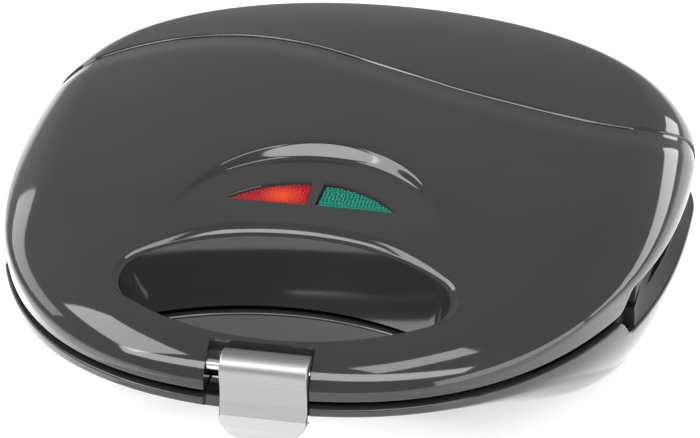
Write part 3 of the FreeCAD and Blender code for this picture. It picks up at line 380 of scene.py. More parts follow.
# outline point of each column: the ray's own angle, eased in front to the angle of the point straight ahead
def outlineEnd(x0):
    n = casing["power"]
    ahead = casing["widestY"] - casing["frontReach"] * (1 - np.abs(x0 / casing["halfWidth"]) ** n) ** (1 / n)
    angle = angles * (1 - frontShare) + np.arctan2(x0, ahead - opening["middleY"]) * frontShare
    sx, sy = np.sin(angle), np.cos(angle)
    far = solve(lambda t: outlineValue(t * sx, opening["middleY"] + t * sy, 0.) - 1,
                np.zeros_like(angle), np.full_like(angle, 260))
    return far * sx, opening["middleY"] + far * sy


# length along each column, split into flat run, roll and flank, turned into plan points, roll angle and drop
def columnRun(x0, y0, x1, y1, roll, flank):
    reach = np.maximum(np.hypot(x1 - x0, y1 - y0), 1e-6)
    roll = np.broadcast_to(np.asarray(roll, float), x0.shape)
    start = np.minimum(insetAt(x0, y0), roll)
    firstAngle = np.arcsin(1 - start / roll)
    whole = solve(lambda s: outlineValue(x0 + s * (x1 - x0), y0 + s * (y1 - y0), roll) - 1,
                  np.zeros_like(x0), np.ones_like(x0))
    flat = np.where(start < roll - 1e-6, 0, whole * reach)
    pace = casing["rollPace"] * roll
    rolled = pace * (math.pi / 2 - firstAngle)

    def at(length):
        c = (slice(None), None)
        angle = firstAngle[c] + np.clip((length - flat[c]) / pace[c], 0, math.pi / 2 - firstAngle[c])
        inset = roll[c] * (1 - np.sin(angle))
        dx, dy = (x1 - x0)[c], (y1 - y0)[c]
        share = solve(lambda s: outlineValue(x0[c] + s * dx, y0[c] + s * dy, inset) - 1,
                      np.zeros_like(angle), np.ones_like(angle))
        share = np.where(length < flat[c], length / reach[c], share)
        drop = np.maximum(length - (flat + rolled)[c], 0)
        return x0[c] + share * dx, y0[c] + share * dy, angle, drop

    return at, flat + rolled + flank


# keeps the points of the latch's columns behind the notch's back wall
def holdBack(y, backY):
    inNotch = (np.abs(angles) > notchAngles[0] - 1e-9)[:, None]
    return np.where(inNotch, np.maximum(y, backY), y)


# lid

lid = {
    "crownZ": 86.5, "crownY": 75, "frontDrop": 31.2, "rearDrop": 5.7, "sideDrop": 15.8,
    "rimZ": 45.2, "flankZ": 53.2, "grooveRimZ": 52, "roll": 20, "tuck": .8, "rimRound": .7,
    "barFlankZ": 47, "barRoll": 9.5, "barFrom": -50, "barTo": -112,   # the handle bar's tighter round
    "platformY": -59, "platformRadius": 45, "platformEdgeY": -14, "platformZ": 75.7, "platformTilt": 6,
    "crescentSlope": 4.4 / 3.2, "crescentSoft": .5,
    "crescentReach": 12, "crescentLeast": .9, "crescentEdge": .4,
    "crescentRows": (-.4, -.2, -.07, .07, .2, .4),
    "notchBackY": -109.5, "rowsApart": 1.2, "rowSpacing": .75,
    "edgeRows": 9, "wallRows": 7, "skinRows": (21, 25, 15, 9, 75),
    "panelColumns": 260, "panelRows": 90, "sideFrom": 80,
    "step": 1, "stepRun": 14, "panelSink": .4,
    # rear panel's line across the lid, from left to right
    "lineX": (-118, -112, -105, -97, -88, -77.5, -61.5, -45, -31, -17.5,
              -1.7, 17, 36, 53.5, 71, 88, 101, 108, 112, 118),
    "lineY": (56, 53.5, 53, 55, 59.3, 62.7, 64.5, 63.3, 59.7, 54.6,
              47.4, 39.9, 33.9, 31.2, 30.4, 32, 37.3, 44.5, 51, 63),
    "panelLead": (0, .25, .45, .7), "panelFall": (.8, .4, .12, 0), "panelEnd": .9,
}


# crown: parabolas in front of, behind and across the highest point; the platform is a tilted plane and its
# crescent a cone round it; the surface is the lower of the crown and the higher of these two, creases rounded
def lidParts(x, y):
    ahead = (lid["crownY"] - y) / (lid["crownY"] - casing["widestY"] + casing["frontReach"])
    behind = (y - lid["crownY"]) / (casing["widestY"] + casing["rearReach"] - lid["crownY"])
    crown = lid["crownZ"] - np.where(ahead > 0, lid["frontDrop"] * ahead ** 2, lid["rearDrop"] * behind ** 2)
    crown = crown - lid["sideDrop"] * (x / casing["halfWidth"]) ** 2
    plane = lid["platformZ"] + (y - lid["platformEdgeY"]) * math.tan(math.radians(lid["platformTilt"]))
    cone = plane + (np.hypot(x, y - lid["platformY"]) - lid["platformRadius"]) * lid["crescentSlope"]
    return crown, plane, cone


def lidSurface(x, y):
    crown, plane, cone = lidParts(x, y)
    soft = lid["crescentSoft"]
    higher = (plane + cone + np.sqrt((plane - cone) ** 2 + soft ** 2)) / 2
    return (crown + higher - np.sqrt((crown - higher) ** 2 + soft ** 2)) / 2


# lid's top: surface brought down to the flank over the roll, as a quarter circle of the inset
def lidTop(x, y, roll, flankZ):
    inset = np.minimum(insetAt(x, y), roll)
    return flankZ + (lidSurface(x, y) - flankZ) * np.sqrt(1 - (1 - inset / roll) ** 2)


# reach of the crescent's foot and head on each ray: the platform's circle, and where its cone meets the crown
def crescentReach(angle):
    off = lid["platformY"] - opening["middleY"]
    square = np.maximum(lid["platformRadius"] ** 2 - (off * np.sin(angle)) ** 2, 0)
    foot = off * np.cos(angle) + np.sqrt(square)

    def over(t):
        x, y = t * np.sin(angle), opening["middleY"] + t * np.cos(angle)
        parts = lidParts(x, y)
        return parts[2] - parts[0]

    head = solve(over, foot, foot + lid["crescentReach"])
    return foot, np.maximum(head, foot + lid["crescentLeast"])


# rear panel's line: cubic pieces through the chosen points, slopes from the neighbours
def panelLine(x):
    px, py = np.array(lid["lineX"], float), np.array(lid["lineY"], float)
    slope = np.gradient(py, px)
    i = np.clip(np.searchsorted(px, x) - 1, 0, len(px) - 2)
    h = px[i + 1] - px[i]
    t = (x - px[i]) / h
    return ((2 * t ** 3 - 3 * t ** 2 + 1) * py[i] + (t ** 3 - 2 * t ** 2 + t) * h * slope[i]
            + (3 * t ** 2 - 2 * t ** 3) * py[i + 1] + (t ** 3 - t ** 2) * h * slope[i + 1])


def makeLid():
    c = (slice(None), None)
    edgeRun = opening["edgeRun"][0] + (opening["edgeRun"][1] - opening["edgeRun"][0]) * rearShare
    edgeFall = opening["edgeFall"][0] + (opening["edgeFall"][1] - opening["edgeFall"][0]) * rearShare
    full = opening["rearRadius"]
    q = np.linspace(1, 0, lid["edgeRows"])[None, 1:]
    edgeX, edgeY = onRay(angles[c], edgeRun[c] * (1 - q), full)
    x0, y0 = edgeX[:, -1], edgeY[:, -1]
    x1, y1 = outlineEnd(x0)
    bar = ease((lid["barFrom"] - y1) / (lid["barFrom"] - lid["barTo"]))
    roll = lid["roll"] + (lid["barRoll"] - lid["roll"]) * bar
    flankZ = lid["flankZ"] + (lid["barFlankZ"] - lid["flankZ"]) * bar

    # gap's wall, leaning in towards its foot, then its rounded top edge
    topX, topY = onRay(angles, 0., full)
    wallTop = lidTop(topX, topY, roll, flankZ) - edgeFall
    wallZ = lid["rimZ"] + np.linspace(0, 1, lid["wallRows"])[None] * (wallTop - lid["rimZ"])[c]
    leanShare = np.clip((opening["leanTop"] - wallZ) / (opening["leanTop"] - opening["leanFoot"]), 0, 1)
    wallX, wallY = onRay(angles[c], 0., full - opening["lean"] * leanShare)
    edgeZ = lidTop(edgeX, edgeY, roll[c], flankZ[c]) - edgeFall[c] * q ** opening["edgeCurve"]

    # foot of the wall: a ledge and the inside of the wall, where the loop isn't solid
    solid = (np.maximum(y0, y1) < casing["solidY"])[c]
    footRadius = full - opening["lean"]
    insideRun = np.where(solid, 0, casing["wall"])
    insideX, insideY = onRay(angles[c], insideRun, np.full((len(angles), 1), footRadius))
    ledgeX, ledgeY = np.repeat(insideX, 2, 1), np.repeat(insideY, 2, 1)
    ledgeZ = lid["rimZ"] + np.where(solid, 0, casing["innerWall"]) * np.array([[1, 0]])

    # skin: the windows and the crescent get their own rows
    rim = lid["rimZ"] + (lid["grooveRimZ"] - lid["rimZ"]) * grooveShare(y1)
    flank = flankZ - rim - lid["rimRound"]
    at, total = columnRun(x0, y0, x1, y1, roll, flank)
    start = np.hypot(x0, y0 - opening["middleY"])
    chord, arc = windowReach(angles)
    foot, head = crescentReach(angles)
    lipEdge, lipOut, edge = lights["lipEdge"], lights["lip"], lid["crescentEdge"]
    apart = lid["rowsApart"]
    chord = np.clip(chord - start, apart, None)
    arc = np.maximum(arc - start, chord + lights["lipLead"])
    foot = np.maximum(foot - start, arc + apart)
    head = np.maximum(head - start, foot + lid["crescentLeast"])
    toWindow, overWindow, toCrescent, overCrescent, toRim = lid["skinRows"]
    w = np.linspace(0, 1, toRim)[None, 1:]
    spaced = lid["rowSpacing"] * w + (1 - lid["rowSpacing"]) * w * w
    lip = lambda row, steps: row[c] + np.array([steps])
    inner = lambda count: np.linspace(0, 1, count)[None, 1:-1]
    runs = [
        (inner(toWindow) * (chord[c] - lights["lipLead"]), 0),
        (lip(chord, (-lipOut, -lights["lipTurn"], 0, lipEdge)), lights["lipShares"]),
        (chord[c] + lipEdge + inner(overWindow) * (arc - chord - 2 * lipEdge)[c], 1),
        (lip(arc, (-lipEdge, 0, lights["lipTurn"], lipOut)), lights["lipShares"][::-1]),
        (arc[c] + lipOut + inner(toCrescent) * (foot - arc - lipOut - edge)[c], 0),
        (lip(foot, lid["crescentRows"]), 0),
        (foot[c] + edge + inner(overCrescent) * (head - foot - 2 * edge)[c], 0),
        (lip(head, lid["crescentRows"]), 0),
        (head[c] + edge + spaced * (total - head - edge)[c], 0),
    ]
    sizes = np.abs(angles)
    inWindow = ((sizes > splitInside - 1e-9) & (sizes < tipAngle - 1e-3))[c]
    lengths = np.concatenate([run[0] for run in runs], 1)
    shares = np.concatenate([np.broadcast_to(np.atleast_2d(run[1]), run[0].shape) for run in runs], 1)
    depth = shares * inWindow * lights["pocket"]
    x, y, angle, drop = at(lengths)
    # the skin dips under the rear panel, which lies on it
    depth = depth + lid["step"] * ease((y - panelLine(x)) / lid["stepRun"] + 1)
    ox, oy = outward(x1, y1)
    inwards = depth * np.sin(angle) + lid["tuck"] * drop / (lid["flankZ"] - lid["rimZ"])
    skinX, skinY = x - inwards * ox[c], y - inwards * oy[c]
    skinZ = flankZ[c] + (lidSurface(x, y) - flankZ[c]) * np.cos(angle) - drop - depth * np.cos(angle)

    # rounded rim, then across to the gap's wall where the loop is solid, or up the inside
    turn = np.radians([casing["rimTurns"]])
    endX, endY = skinX[:, -1:], skinY[:, -1:]
    roundIn = lid["rimRound"] * (1 - np.cos(turn))
    rimX, rimY = endX - roundIn * ox[c], endY - roundIn * oy[c]
    rimZ = rim[c] + lid["rimRound"] * (1 - np.sin(turn))
    share = np.array([casing["backShares"]])
    lastX = rimX[:, -1:]
    backX = np.where(solid, lastX + share * (wallX[:, :1] - lastX), endX - casing["wall"] * ox[c])
    lastY = rimY[:, -1:]
    backY = np.where(solid, lastY + share * (wallY[:, :1] - lastY), endY - casing["wall"] * oy[c])
    backZ = np.where(solid, lid["rimZ"], rim[c] + casing["innerWall"] * np.array([[0, .5, 1]]))

    skinY, rimY = holdBack(skinY, lid["notchBackY"]), holdBack(rimY, lid["notchBackY"])
    backY = holdBack(backY, lid["notchBackY"])
    points = np.stack([np.concatenate([ledgeX, wallX, edgeX, skinX, rimX, backX], 1),
                       np.concatenate([ledgeY, wallY, edgeY, skinY, rimY, backY], 1),
                       np.concatenate([ledgeZ, wallZ, edgeZ, skinZ, rimZ, backZ], 1)], -1)
    faces = gridQuads(*points.shape[:2], True)
    addPiece("lid_casing", points, faces, "gloss", "lid", ["lid_shell"])


# where the panel's line meets the outline at one side
def lineEnd(side):
    past = lambda x: outlineValue(side * x, panelLine(side * x), 0.) - 1
    x = side * solve(past, np.array(float(lid["sideFrom"])), np.array(float(casing["halfWidth"])))
    return float(x), float(panelLine(x))


# turn of a point on the rear half of the superellipse, from its shares of width and reach
def rearTurn(x, y):
    half = casing["power"] / 2
    across = math.copysign((abs(x) / casing["halfWidth"]) ** half, x)
    return math.atan2(((y - casing["widestY"]) / casing["rearReach"]) ** half, across)


# rear panel: columns from the line across the lid to the outline behind it, a little under the lid's surface
def makeRearPanel():
    c = (slice(None), None)
    (leftX, leftY), (rightX, rightY) = lineEnd(-1), lineEnd(1)
    share = np.linspace(0, 1, lid["panelColumns"])
    x0 = leftX + (rightX - leftX) * share
    y0 = panelLine(x0)
    leftTurn, rightTurn = rearTurn(leftX, leftY), rearTurn(rightX, rightY)
    turn = leftTurn + (rightTurn - leftTurn) * share
    root = 2 / casing["power"]
    x1 = casing["halfWidth"] * np.sign(np.cos(turn)) * np.abs(np.cos(turn)) ** root
    y1 = casing["widestY"] + casing["rearReach"] * np.sin(turn) ** root
    rim = lid["rimZ"] + (lid["grooveRimZ"] - lid["rimZ"]) * grooveShare(y1)
    at, total = columnRun(x0, y0, x1, y1, lid["roll"], lid["flankZ"] - rim)
    lead = np.array(lid["panelLead"])
    first = np.broadcast_to(lead, (len(x0), len(lead)))
    rest = lead[-1] + np.linspace(0, 1, lid["panelRows"])[None, 1:] * (total - lead[-1])[c]
    lengths = np.concatenate([first, rest], 1)
    depth = np.full(lengths.shape, lid["panelSink"])
    depth[:, :len(lead)] += lid["panelFall"]
    depth[:, -1] += lid["panelEnd"]
    x, y, angle, drop = at(lengths)
    ox, oy = outward(x1, y1)
    inwards = depth * np.sin(angle) + lid["tuck"] * drop / (lid["flankZ"] - lid["rimZ"])
    z = lid["flankZ"] + (lidSurface(x, y) - lid["flankZ"]) * np.cos(angle) - drop - depth * np.cos(angle)
    points = np.stack([x - inwards * ox[c], y - inwards * oy[c], z], -1)
    addPiece("lid_rear_panel", points, gridQuads(*points.shape[:2], False), "gloss", "lid")


makeRearPanel()
makeLid()


# base

base = {
    "rimZ": 42.8, "flankZ": 40.8, "grooveRimZ": 36, "roll": 24, "rimRound": .7,
    "frontY": -120, "rearY": -12, "frontZ": 36.8, "floorZ": 5.6,
    "gapRadius": 86, "gapRound": 1.2, "footRound": 1.5,
    "skinRows": 84, "wallRows": 7, "gapTurns": (0, 30, 60, 90), "footTurns": (25, 50, 75), "leastFlank": .1,
    "catchBackY": -117.2, "inletZ": 35, "inletClear": 6, "inletY": 105,
}


# hull: level floor that rises to the handle loop by a smooth step along Y
def hullZ(y):
    along = (y - base["frontY"]) / (base["rearY"] - base["frontY"])
    return base["frontZ"] - (base["frontZ"] - base["floorZ"]) * ease(along)


def makeBase():
    c = (slice(None), None)
    column = np.ones((len(angles), 1))
    radius = base["gapRadius"]
    x0, y0 = onRay(angles, base["footRound"], radius)
    x1, y1 = outlineEnd(x0)
    solid = (np.maximum(y0, y1) < casing["solidY"])[c]
    rim = base["rimZ"] - (base["rimZ"] - base["grooveRimZ"]) * grooveShare(y1)

    # rounded top of the gap's wall, with the ledge behind it
    turn = np.radians([base["gapTurns"]])
    headX, headY = onRay(angles[c], base["gapRound"] * (1 - np.sin(turn)) * column, radius)
    headZ = (base["rimZ"] - base["gapRound"] * (1 - np.cos(turn))) * column
    ledgeRun = np.where(solid, base["gapRound"], casing["wall"])
    ledgeX, ledgeY = onRay(angles[c], ledgeRun, radius)
    ledgeX, ledgeY = np.repeat(ledgeX, 2, 1), np.repeat(ledgeY, 2, 1)
    ledgeZ = base["rimZ"] - np.where(solid, 0, casing["innerWall"]) * np.array([[1, 0]])

    # skin from the gap's foot over the hull and its roll to the flank
    flank = np.maximum(rim - base["flankZ"] - base["rimRound"], base["leastFlank"])
    at, total = columnRun(x0, y0, x1, y1, base["roll"], flank)
    lengths = np.linspace(0, 1, base["skinRows"])[None] * total[c]
    skinX, skinY, angle, rise = at(lengths)
    skinZ = base["flankZ"] - (base["flankZ"] - hullZ(skinY)) * np.cos(angle) + rise
    skinZ = np.minimum(skinZ, rim[c] - base["rimRound"])

    # wall of the gap down to its rounded foot
    low = skinZ[:, :1]
    wallX, wallY = onRay(angles[c], 0 * column, radius)
    share = np.linspace(0, 1, base["wallRows"])[None, 1:]
    wallZ = (base["rimZ"] - base["gapRound"]) * (1 - share) + (low + base["footRound"]) * share
    wallX, wallY = np.repeat(wallX, share.size, 1), np.repeat(wallY, share.size, 1)
    turn = np.radians([base["footTurns"]])
    footX, footY = onRay(angles[c], base["footRound"] * (1 - np.cos(turn)) * column, radius)
    footZ = low + base["footRound"] * (1 - np.sin(turn))

    # rounded rim, then across to the gap where the loop is solid, or down the inside
    ox, oy = outward(x1, y1)
    turn = np.radians([casing["rimTurns"]])
    roundIn = base["rimRound"] * (1 - np.cos(turn))
    rimX, rimY = skinX[:, -1:] - roundIn * ox[c], skinY[:, -1:] - roundIn * oy[c]
    rimZ = rim[c] - base["rimRound"] * (1 - np.sin(turn))
    share = np.array([casing["backShares"]])
    lastX, endX = rimX[:, -1:], skinX[:, -1:]
    backX = np.where(solid, lastX + share * (headX[:, :1] - lastX), endX - casing["wall"] * ox[c])
    lastY, endY = rimY[:, -1:], skinY[:, -1:]
    backY = np.where(solid, lastY + share * (headY[:, :1] - lastY), endY - casing["wall"] * oy[c])
    backZ = np.where(solid, base["rimZ"], rim[c] - casing["innerWall"] * np.array([[0, .5, 1]]))

    skinY, rimY = holdBack(skinY, base["catchBackY"]), holdBack(rimY, base["catchBackY"])
    backY = holdBack(backY, base["catchBackY"])
    points = np.stack([np.concatenate([ledgeX, headX, wallX, footX, skinX, rimX, backX], 1),
                       np.concatenate([ledgeY, headY, wallY, footY, skinY, rimY, backY], 1),
                       np.concatenate([ledgeZ, headZ, wallZ, footZ, skinZ, rimZ, backZ], 1)], -1)
    faces = gridQuads(*points.shape[:2], True, True)
    middle = points.reshape(-1, 3)[faces].mean(1)
    near = np.hypot(middle[:, 0], middle[:, 2] - base["inletZ"]) < base["inletClear"]
    inlet = near & (middle[:, 1] > base["inletY"])   # left open for the cord gland
    addPiece("base_casing", points, faces[~inlet], "gloss", "base", ["base_shell"])


makeBase()


# pieces cut from a side view: closed profile in Y and Z carried along X, with its ends drawn in a little
def alongX(profile, stations, shrink):
    profile = np.asarray(profile, float)
    middle = profile.mean(0)
    size = np.hypot(*(profile - middle).T).mean()
    scale = 1 - np.asarray(shrink)[:, None, None] / size
    yz = middle + (profile - middle)[None] * scale
    x = np.broadcast_to(np.asarray(stations, float)[:, None, None], yz.shape[:2] + (1,))
    return np.concatenate([x, yz], -1)


# corners cut twice over, each time a quarter of the side, which rounds them
def roundCorners(profile, turns=2):
    profile = np.asarray(profile, float)
    for turn in range(turns):
        ahead = np.roll(profile, -1, 0)
        profile = np.stack([.75 * profile + .25 * ahead, .25 * profile + .75 * ahead], 1).reshape(-1, 2)
    return profile


# faces of a carried profile: quads round it and a flat cap at each end
def carriedFaces(stations, count, flip=False):
    s, k = np.meshgrid(np.arange(stations - 1), np.arange(count), indexing="ij")
    n = (k + 1) % count
    here, ahead = s * count, (s + 1) * count
    quads = np.stack([here + k, ahead + k, ahead + n, here + n], -1).reshape(-1, 4)
    caps = [np.arange(count), (stations - 1) * count + np.arange(count)[::-1]]
    faces = [list(face) for face in quads] + [list(cap) for cap in caps]
    return [face[::-1] for face in faces] if flip else faces


# points of an arc about a centre in Y and Z
def arcPoints(y, z, radius, turn):
    return np.stack([y + radius * np.cos(turn), z + radius * np.sin(turn)], -1)


# bend: steps back from the hinge line, with shares of the web's rise
hinge = {
    "y": 121, "z": 44, "radius": 5.5, "x": 61.3, "knuckle": 12, "ear": 5, "earStep": 8.8,
    "rootY": 104, "knuckleTop": 53, "earFoot": 32, "edge": .5, "edgeIn": (0, .3, 1), "edgeDrawn": (1, .3, 0),
    "bend": ((.6, .88), (3, .98), (6, 1)), "barrelFrom": 180, "barrelTo": 405, "barrelPoints": 32,
}


# barrel round the hinge line with a web to the casing; side is 1 for the lid's web above, -1 for the base's
def lugProfile(webZ, side):
    sweep = np.radians(np.linspace(hinge["barrelFrom"], hinge["barrelTo"], hinge["barrelPoints"])) * side
    barrel = arcPoints(hinge["y"], hinge["z"], hinge["radius"], sweep)
    rise = webZ - hinge["z"]
    bend = [(hinge["y"] - back, hinge["z"] + share * rise) for back, share in hinge["bend"]]
    web = np.array(bend + [(hinge["rootY"], webZ), (hinge["rootY"], hinge["z"])])
    profile = np.concatenate([barrel, web])
    return profile if side > 0 else profile[::-1]


def makeLug(name, x, width, webZ, side, body):
    profile = roundCorners(lugProfile(webZ, side), 1)
    edge = hinge["edge"]
    inwards = edge * np.array(hinge["edgeIn"])
    stations = np.concatenate([x - width / 2 + inwards, x + width / 2 - inwards[::-1]])
    drawnIn = edge * np.array(hinge["edgeDrawn"] + hinge["edgeDrawn"][::-1])
    points = alongX(profile, stations, drawnIn)
    addPiece(name, points, carriedFaces(len(stations), len(profile), True), "gloss", body)


for sideName, sign in (("left", -1), ("right", 1)):
    makeLug("lid_knuckle_" + sideName, sign * hinge["x"], hinge["knuckle"], hinge["knuckleTop"], 1, "lid")
    for place, step in (("inner", -1), ("outer", 1)):
        earX = sign * (hinge["x"] + step * hinge["earStep"])
        makeLug("base_ear_" + place + "_" + sideName, earX, hinge["ear"], hinge["earFoot"], -1, "base")


# latch

latch = {
    "left": -11.3, "right": 16.1, "pinY": -115.5, "pinZ": 52.8, "radius": 5.5,
    "frontY": -121, "innerY": -118.6, "foldZ": 38.6, "tipY": -126.5, "tipZ": 33.6,
    "thickness": 2, "hollow": .7, "edge": .5, "edgeFrom": .97,
    "hookY": -117.5, "hookZ": 37.4, "hookDeep": 1.2, "hookRise": .3, "tabPower": 2.1, "tabThin": .35,
    "footStep": (-.4, -1.8), "backStep": (.3, 3), "pinRadius": 1.75, "pinTail": -.2,
    "columns": 47, "barrelPoints": 60, "bladePoints": 26, "tabPoints": 9, "pinPoints": 40,
}


# barrel round its pin, a slightly hollow blade, then the thumb tab, its reach a half oval across the width
def makeLatch():
    left, right = latch["left"], latch["right"]
    half, middle = (right - left) / 2, (right + left) / 2
    u = np.sin(np.linspace(-math.pi / 2, math.pi / 2, latch["columns"]))
    x = middle + half * u
    leave = math.degrees(math.asin((latch["pinY"] - latch["innerY"]) / latch["radius"]))
    sweep = np.radians(np.linspace(270 - leave, 540, latch["barrelPoints"]))
    barrel = arcPoints(latch["pinY"], latch["pinZ"], latch["radius"], sweep)
    s = np.linspace(0, 1, latch["bladePoints"])[1:]
    bladeY = latch["frontY"] + latch["hollow"] * np.sin(math.pi * s) ** 2
    blade = np.stack([bladeY, latch["pinZ"] + (latch["foldZ"] - latch["pinZ"]) * s], -1)
    (footY, footZ), (backY, backZ) = latch["footStep"], latch["backStep"]
    back = np.array([
        (latch["innerY"] + footY, latch["foldZ"] + footZ),
        (latch["hookY"], latch["hookZ"] - latch["hookDeep"]),
        (latch["hookY"], latch["hookZ"]),
        (latch["innerY"], latch["hookZ"] + latch["hookRise"]),
        (latch["innerY"] + backY, latch["foldZ"] + backZ),
    ])
    reach = np.clip(1 - np.abs(u) ** latch["tabPower"], 0, 1) ** (1 / latch["tabPower"])
    fold = np.array([latch["frontY"], latch["foldZ"]])
    tip = np.array([latch["tipY"], latch["tipZ"]])
    across = np.array([tip[1] - fold[1], fold[0] - tip[0]]) / np.hypot(*(tip - fold))
    under = -across * latch["thickness"] if across[1] > 0 else across * latch["thickness"]
    t = np.linspace(0, 1, latch["tabPoints"])[1:]
    outer = fold + t[None, :, None] * reach[:, None, None] * (tip - fold)
    thin = latch["tabThin"] + (1 - latch["tabThin"]) * np.linspace(0, 1, len(t)) ** .5
    inner = outer[:, ::-1] + under * thin[None, :, None]
    fixed = lambda line: np.broadcast_to(line[None], (len(x),) + line.shape)
    profile = np.concatenate([fixed(barrel), fixed(blade), outer, inner, fixed(back)], 1)
    # edges drawn in towards the sheet's middle at both ends
    atEnd = np.clip((np.abs(u) - latch["edgeFrom"]) / (1 - latch["edgeFrom"]), 0, 1)
    pull = (atEnd ** 2)[:, None, None] * latch["edge"]
    ahead = np.roll(profile, -1, 1) - np.roll(profile, 1, 1)
    normal = np.stack([-ahead[..., 1], ahead[..., 0]], -1)
    normal = normal / np.maximum(np.linalg.norm(normal, axis=-1, keepdims=True), 1e-9)
    profile = profile + normal * pull
    points = np.concatenate([np.broadcast_to(x[:, None, None], profile.shape[:2] + (1,)), profile], -1)
    faces = carriedFaces(len(x), profile.shape[1], True)
    addPiece("latch_clasp", points, faces, "latch", "latch", ["latch"], 40)


makeLatch()


# pin: a circle carried across the notch, its ends just short of the bar
def makeLatchPin():
    turn = np.linspace(0, 2 * math.pi, latch["pinPoints"], endpoint=False)
    circle = arcPoints(latch["pinY"], latch["pinZ"], latch["pinRadius"], turn)
    half, edge = casing["notchX"] + latch["pinTail"], latch["edge"]
    points = alongX(circle, [-half, edge - half, half - edge, half], [edge, 0, 0, edge])
    faces = carriedFaces(len(points), len(circle), True)
    addPiece("latch_pin_rod", points, faces, "steel", "lid", ["latch_pin"])


makeLatchPin()


# window lenses: the lid's surface sunk a little, with small diamond prisms from two crossed folded waves
def makeLens(name, sign, finish, node):
    columns, rows = lights["lensColumns"], lights["lensRows"]
    c = (slice(None), None)
    share = np.clip(np.linspace(-1, columns, columns + 2) / (columns - 1), 0, 1)
    first, last = splitInside + lights["turnPlay"], tipAngle - 2 * lights["turnPlay"]
    spread = first + share * (last - first)
    chord, arc = windowReach(spread)
    up = np.clip(np.linspace(-1, rows, rows + 2) / (rows - 1), 0, 1)
    high = np.maximum(arc - chord - 2 * lights["play"], lights["leastHigh"])
    far = chord[c] + lights["play"] + up[None] * high[c]
    x, y = far * np.sin(spread)[c], opening["middleY"] + far * np.cos(spread)[c]
    pitch = lights["prismPitch"]
    folds = np.abs(np.sin(math.pi * (x + y) / pitch)) * np.abs(np.sin(math.pi * (x - y) / pitch))
    z = lidSurface(x, y) - lights["sink"] + lights["prismRise"] * (folds - 1)
    border = np.zeros_like(z)
    border[[0, -1]] = 1
    border[:, [0, -1]] = 1
    z = z - border * lights["thickness"]
    points = np.stack([x * sign, y, z], -1)
    addPiece(name, points, gridQuads(*points.shape[:2], False, sign < 0), finish, "lid", [node], 12)


makeLens("red_window_lens", -1, "red", "red_lens")
makeLens("green_window_lens", 1, "green", "green_lens")


# finishes of the shown nodes
nodeFinish = {
    "frame": ["base_frame", "lid_frame"],
    "coat": ["lower_plate", "upper_plate"],
    "element": ["lower_heater", "upper_heater"],
    "sheet": ["lower_shield", "upper_shield"],
    "ceramic": ["base_thermostat", "terminal_block", "lamp_holder"],
    "fuse": ["thermal_fuse"],
    "gland": ["cord_gland"],
    "sleeve": ["base_leads", "lid_leads"],
    "glass": ["red_lamp", "green_lamp"],
    "foot": ["foot_front_left", "foot_front_right", "foot_rear_left", "foot_rear_right"],
    "steel": ["hinge_pin_left", "hinge_pin_right", "base_screws", "lid_screws", "lamp_screws",
              "lower_plate_screws", "upper_plate_screws", "lower_shield_screws", "upper_shield_screws"],
}
for finish, names in nodeFinish.items():
    for name in names:
        nodes[name].data.materials.clear()
        nodes[name].data.materials.append(finishes[finish])
print("node finishes set")


# studio: white floor, pale surroundings and softboxes round the object
studio = {
    "floorSize": 8, "floorPoints": 9, "floorColour": (.86, .86, .86), "floorRough": .9,
    "lift": .62, "surround": .12, "backdrop": .5,
}


def addLarger(tree, one, other):
    larger = tree.nodes.new("ShaderNodeMath")
    larger.operation = "MAXIMUM"
    tree.links.new(one, larger.inputs[0])
    tree.links.new(other, larger.inputs[1])
    return larger.outputs[0]


floorMesh = bpy.data.meshes.new("studioFloor")
edge = np.linspace(-studio["floorSize"] / 2, studio["floorSize"] / 2, studio["floorPoints"])
fx, fy = np.meshgrid(edge, edge, indexing="ij")
floorPoints = np.stack([fx, fy, np.zeros_like(fx)], -1)
floorQuads = gridQuads(*floorPoints.shape[:2], False, True)
floorMesh.from_pydata(floorPoints.reshape(-1, 3).tolist(), [], floorQuads.tolist())
floor = bpy.data.objects.new("studioFloor", floorMesh)
scene.collection.objects.link(floor)
floorFinish, tree, shader = newFinish("paleFloor")[:3]
shader.inputs["Base Color"].default_value = (*studio["floorColour"], 1)
shader.inputs["Roughness"].default_value = studio["floorRough"]
shader.inputs["Specular IOR Level"].default_value = 0
shader.inputs["Emission Color"].default_value = (1, 1, 1, 1)
rays = tree.nodes.new("ShaderNodeLightPath").outputs
seen = addLarger(tree, rays["Is Camera Ray"], rays["Is Glossy Ray"])
lift = tree.nodes.new("ShaderNodeMath")
lift.operation = "MULTIPLY"
lift.inputs[1].default_value = studio["lift"]
tree.links.new(seen, lift.inputs[0])
tree.links.new(lift.outputs[0], shader.inputs["Emission Strength"])
floorMesh.materials.append(floorFinish)

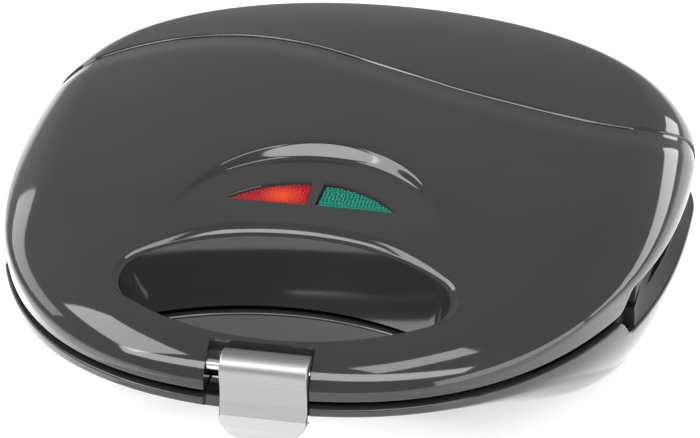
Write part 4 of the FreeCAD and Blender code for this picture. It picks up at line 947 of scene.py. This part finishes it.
world = bpy.data.worlds.new("studioWorld")
scene.world = world
world.use_nodes = True
tree = world.node_tree
back = tree.nodes["Background"]
back.inputs["Color"].default_value = (1, 1, 1, 1)
rays = tree.nodes.new("ShaderNodeLightPath").outputs
seen = addLarger(tree, rays["Is Camera Ray"], rays["Is Glossy Ray"])
seen = addLarger(tree, seen, rays["Is Transmission Ray"])
level = tree.nodes.new("ShaderNodeMapRange")
level.inputs["To Min"].default_value = studio["surround"]
level.inputs["To Max"].default_value = studio["backdrop"]
tree.links.new(seen, level.inputs["Value"])
tree.links.new(level.outputs["Result"], back.inputs["Strength"])


def turnTo(item, target):
    offset = np.array(target, float) - np.array(item.location)
    flat = math.hypot(offset[0], offset[1])
    item.rotation_euler = (math.pi / 2 + math.atan2(offset[2], flat), 0, math.atan2(-offset[0], offset[1]))


def softbox(name, place, target, width, height, power):
    lamp = bpy.data.lights.new(name, "AREA")
    lamp.shape = "RECTANGLE"
    lamp.size, lamp.size_y, lamp.energy = width, height, power
    item = bpy.data.objects.new(name, lamp)
    item.location = place
    item.visible_camera = False
    scene.collection.objects.link(item)
    turnTo(item, target)


# place, the point that the box faces, width, height and power
boxes = {
    "frontBox": ((0, -1, 1), (0, -.05, .06), 3.2, .36, 30),
    "leftBox": ((-.8, -.25, .86), (0, -.05, .06), .8, .5, 8.5),
    "rightBox": ((.45, -.4, 1.1), (0, -.05, .06), .7, .3, 4),
    "lowLeftBox": ((-.85, .25, .3), (0, 0, .06), .7, .2, 1.2),
    "lowRightBox": ((.8, -.3, .15), (0, 0, .06), .9, .25, 2.8),
    "rearRightBox": ((.8, .6, .22), (0, 0, .06), 1, .2, 2.4),
    # panels flat on the table at both sides, facing up
    "tableLeft": ((-.23, -.04, .003), (-.23, -.0399, 1), .25, .42, .5),
    "tableRight": ((.23, -.04, .003), (.23, -.0399, 1), .25, .42, .16),
}
for name, settings in boxes.items():
    softbox(name, *settings)

# camera from the photograph's side, long lens
view = {
    "place": (.18889, -.88634, .50601), "target": (.00085, .01698, .03824),
    "lens": 154.3, "sensor": 36, "clip": (.05, 50),
}
camera = bpy.data.cameras.new("photoCamera")
camera.lens = view["lens"]
camera.sensor_width = view["sensor"]
camera.sensor_fit = "HORIZONTAL"
camera.clip_start, camera.clip_end = view["clip"]
cameraItem = bpy.data.objects.new("photoCamera", camera)
cameraItem.location = view["place"]
scene.collection.objects.link(cameraItem)
turnTo(cameraItem, view["target"])
scene.camera = cameraItem
print("studio and camera set")
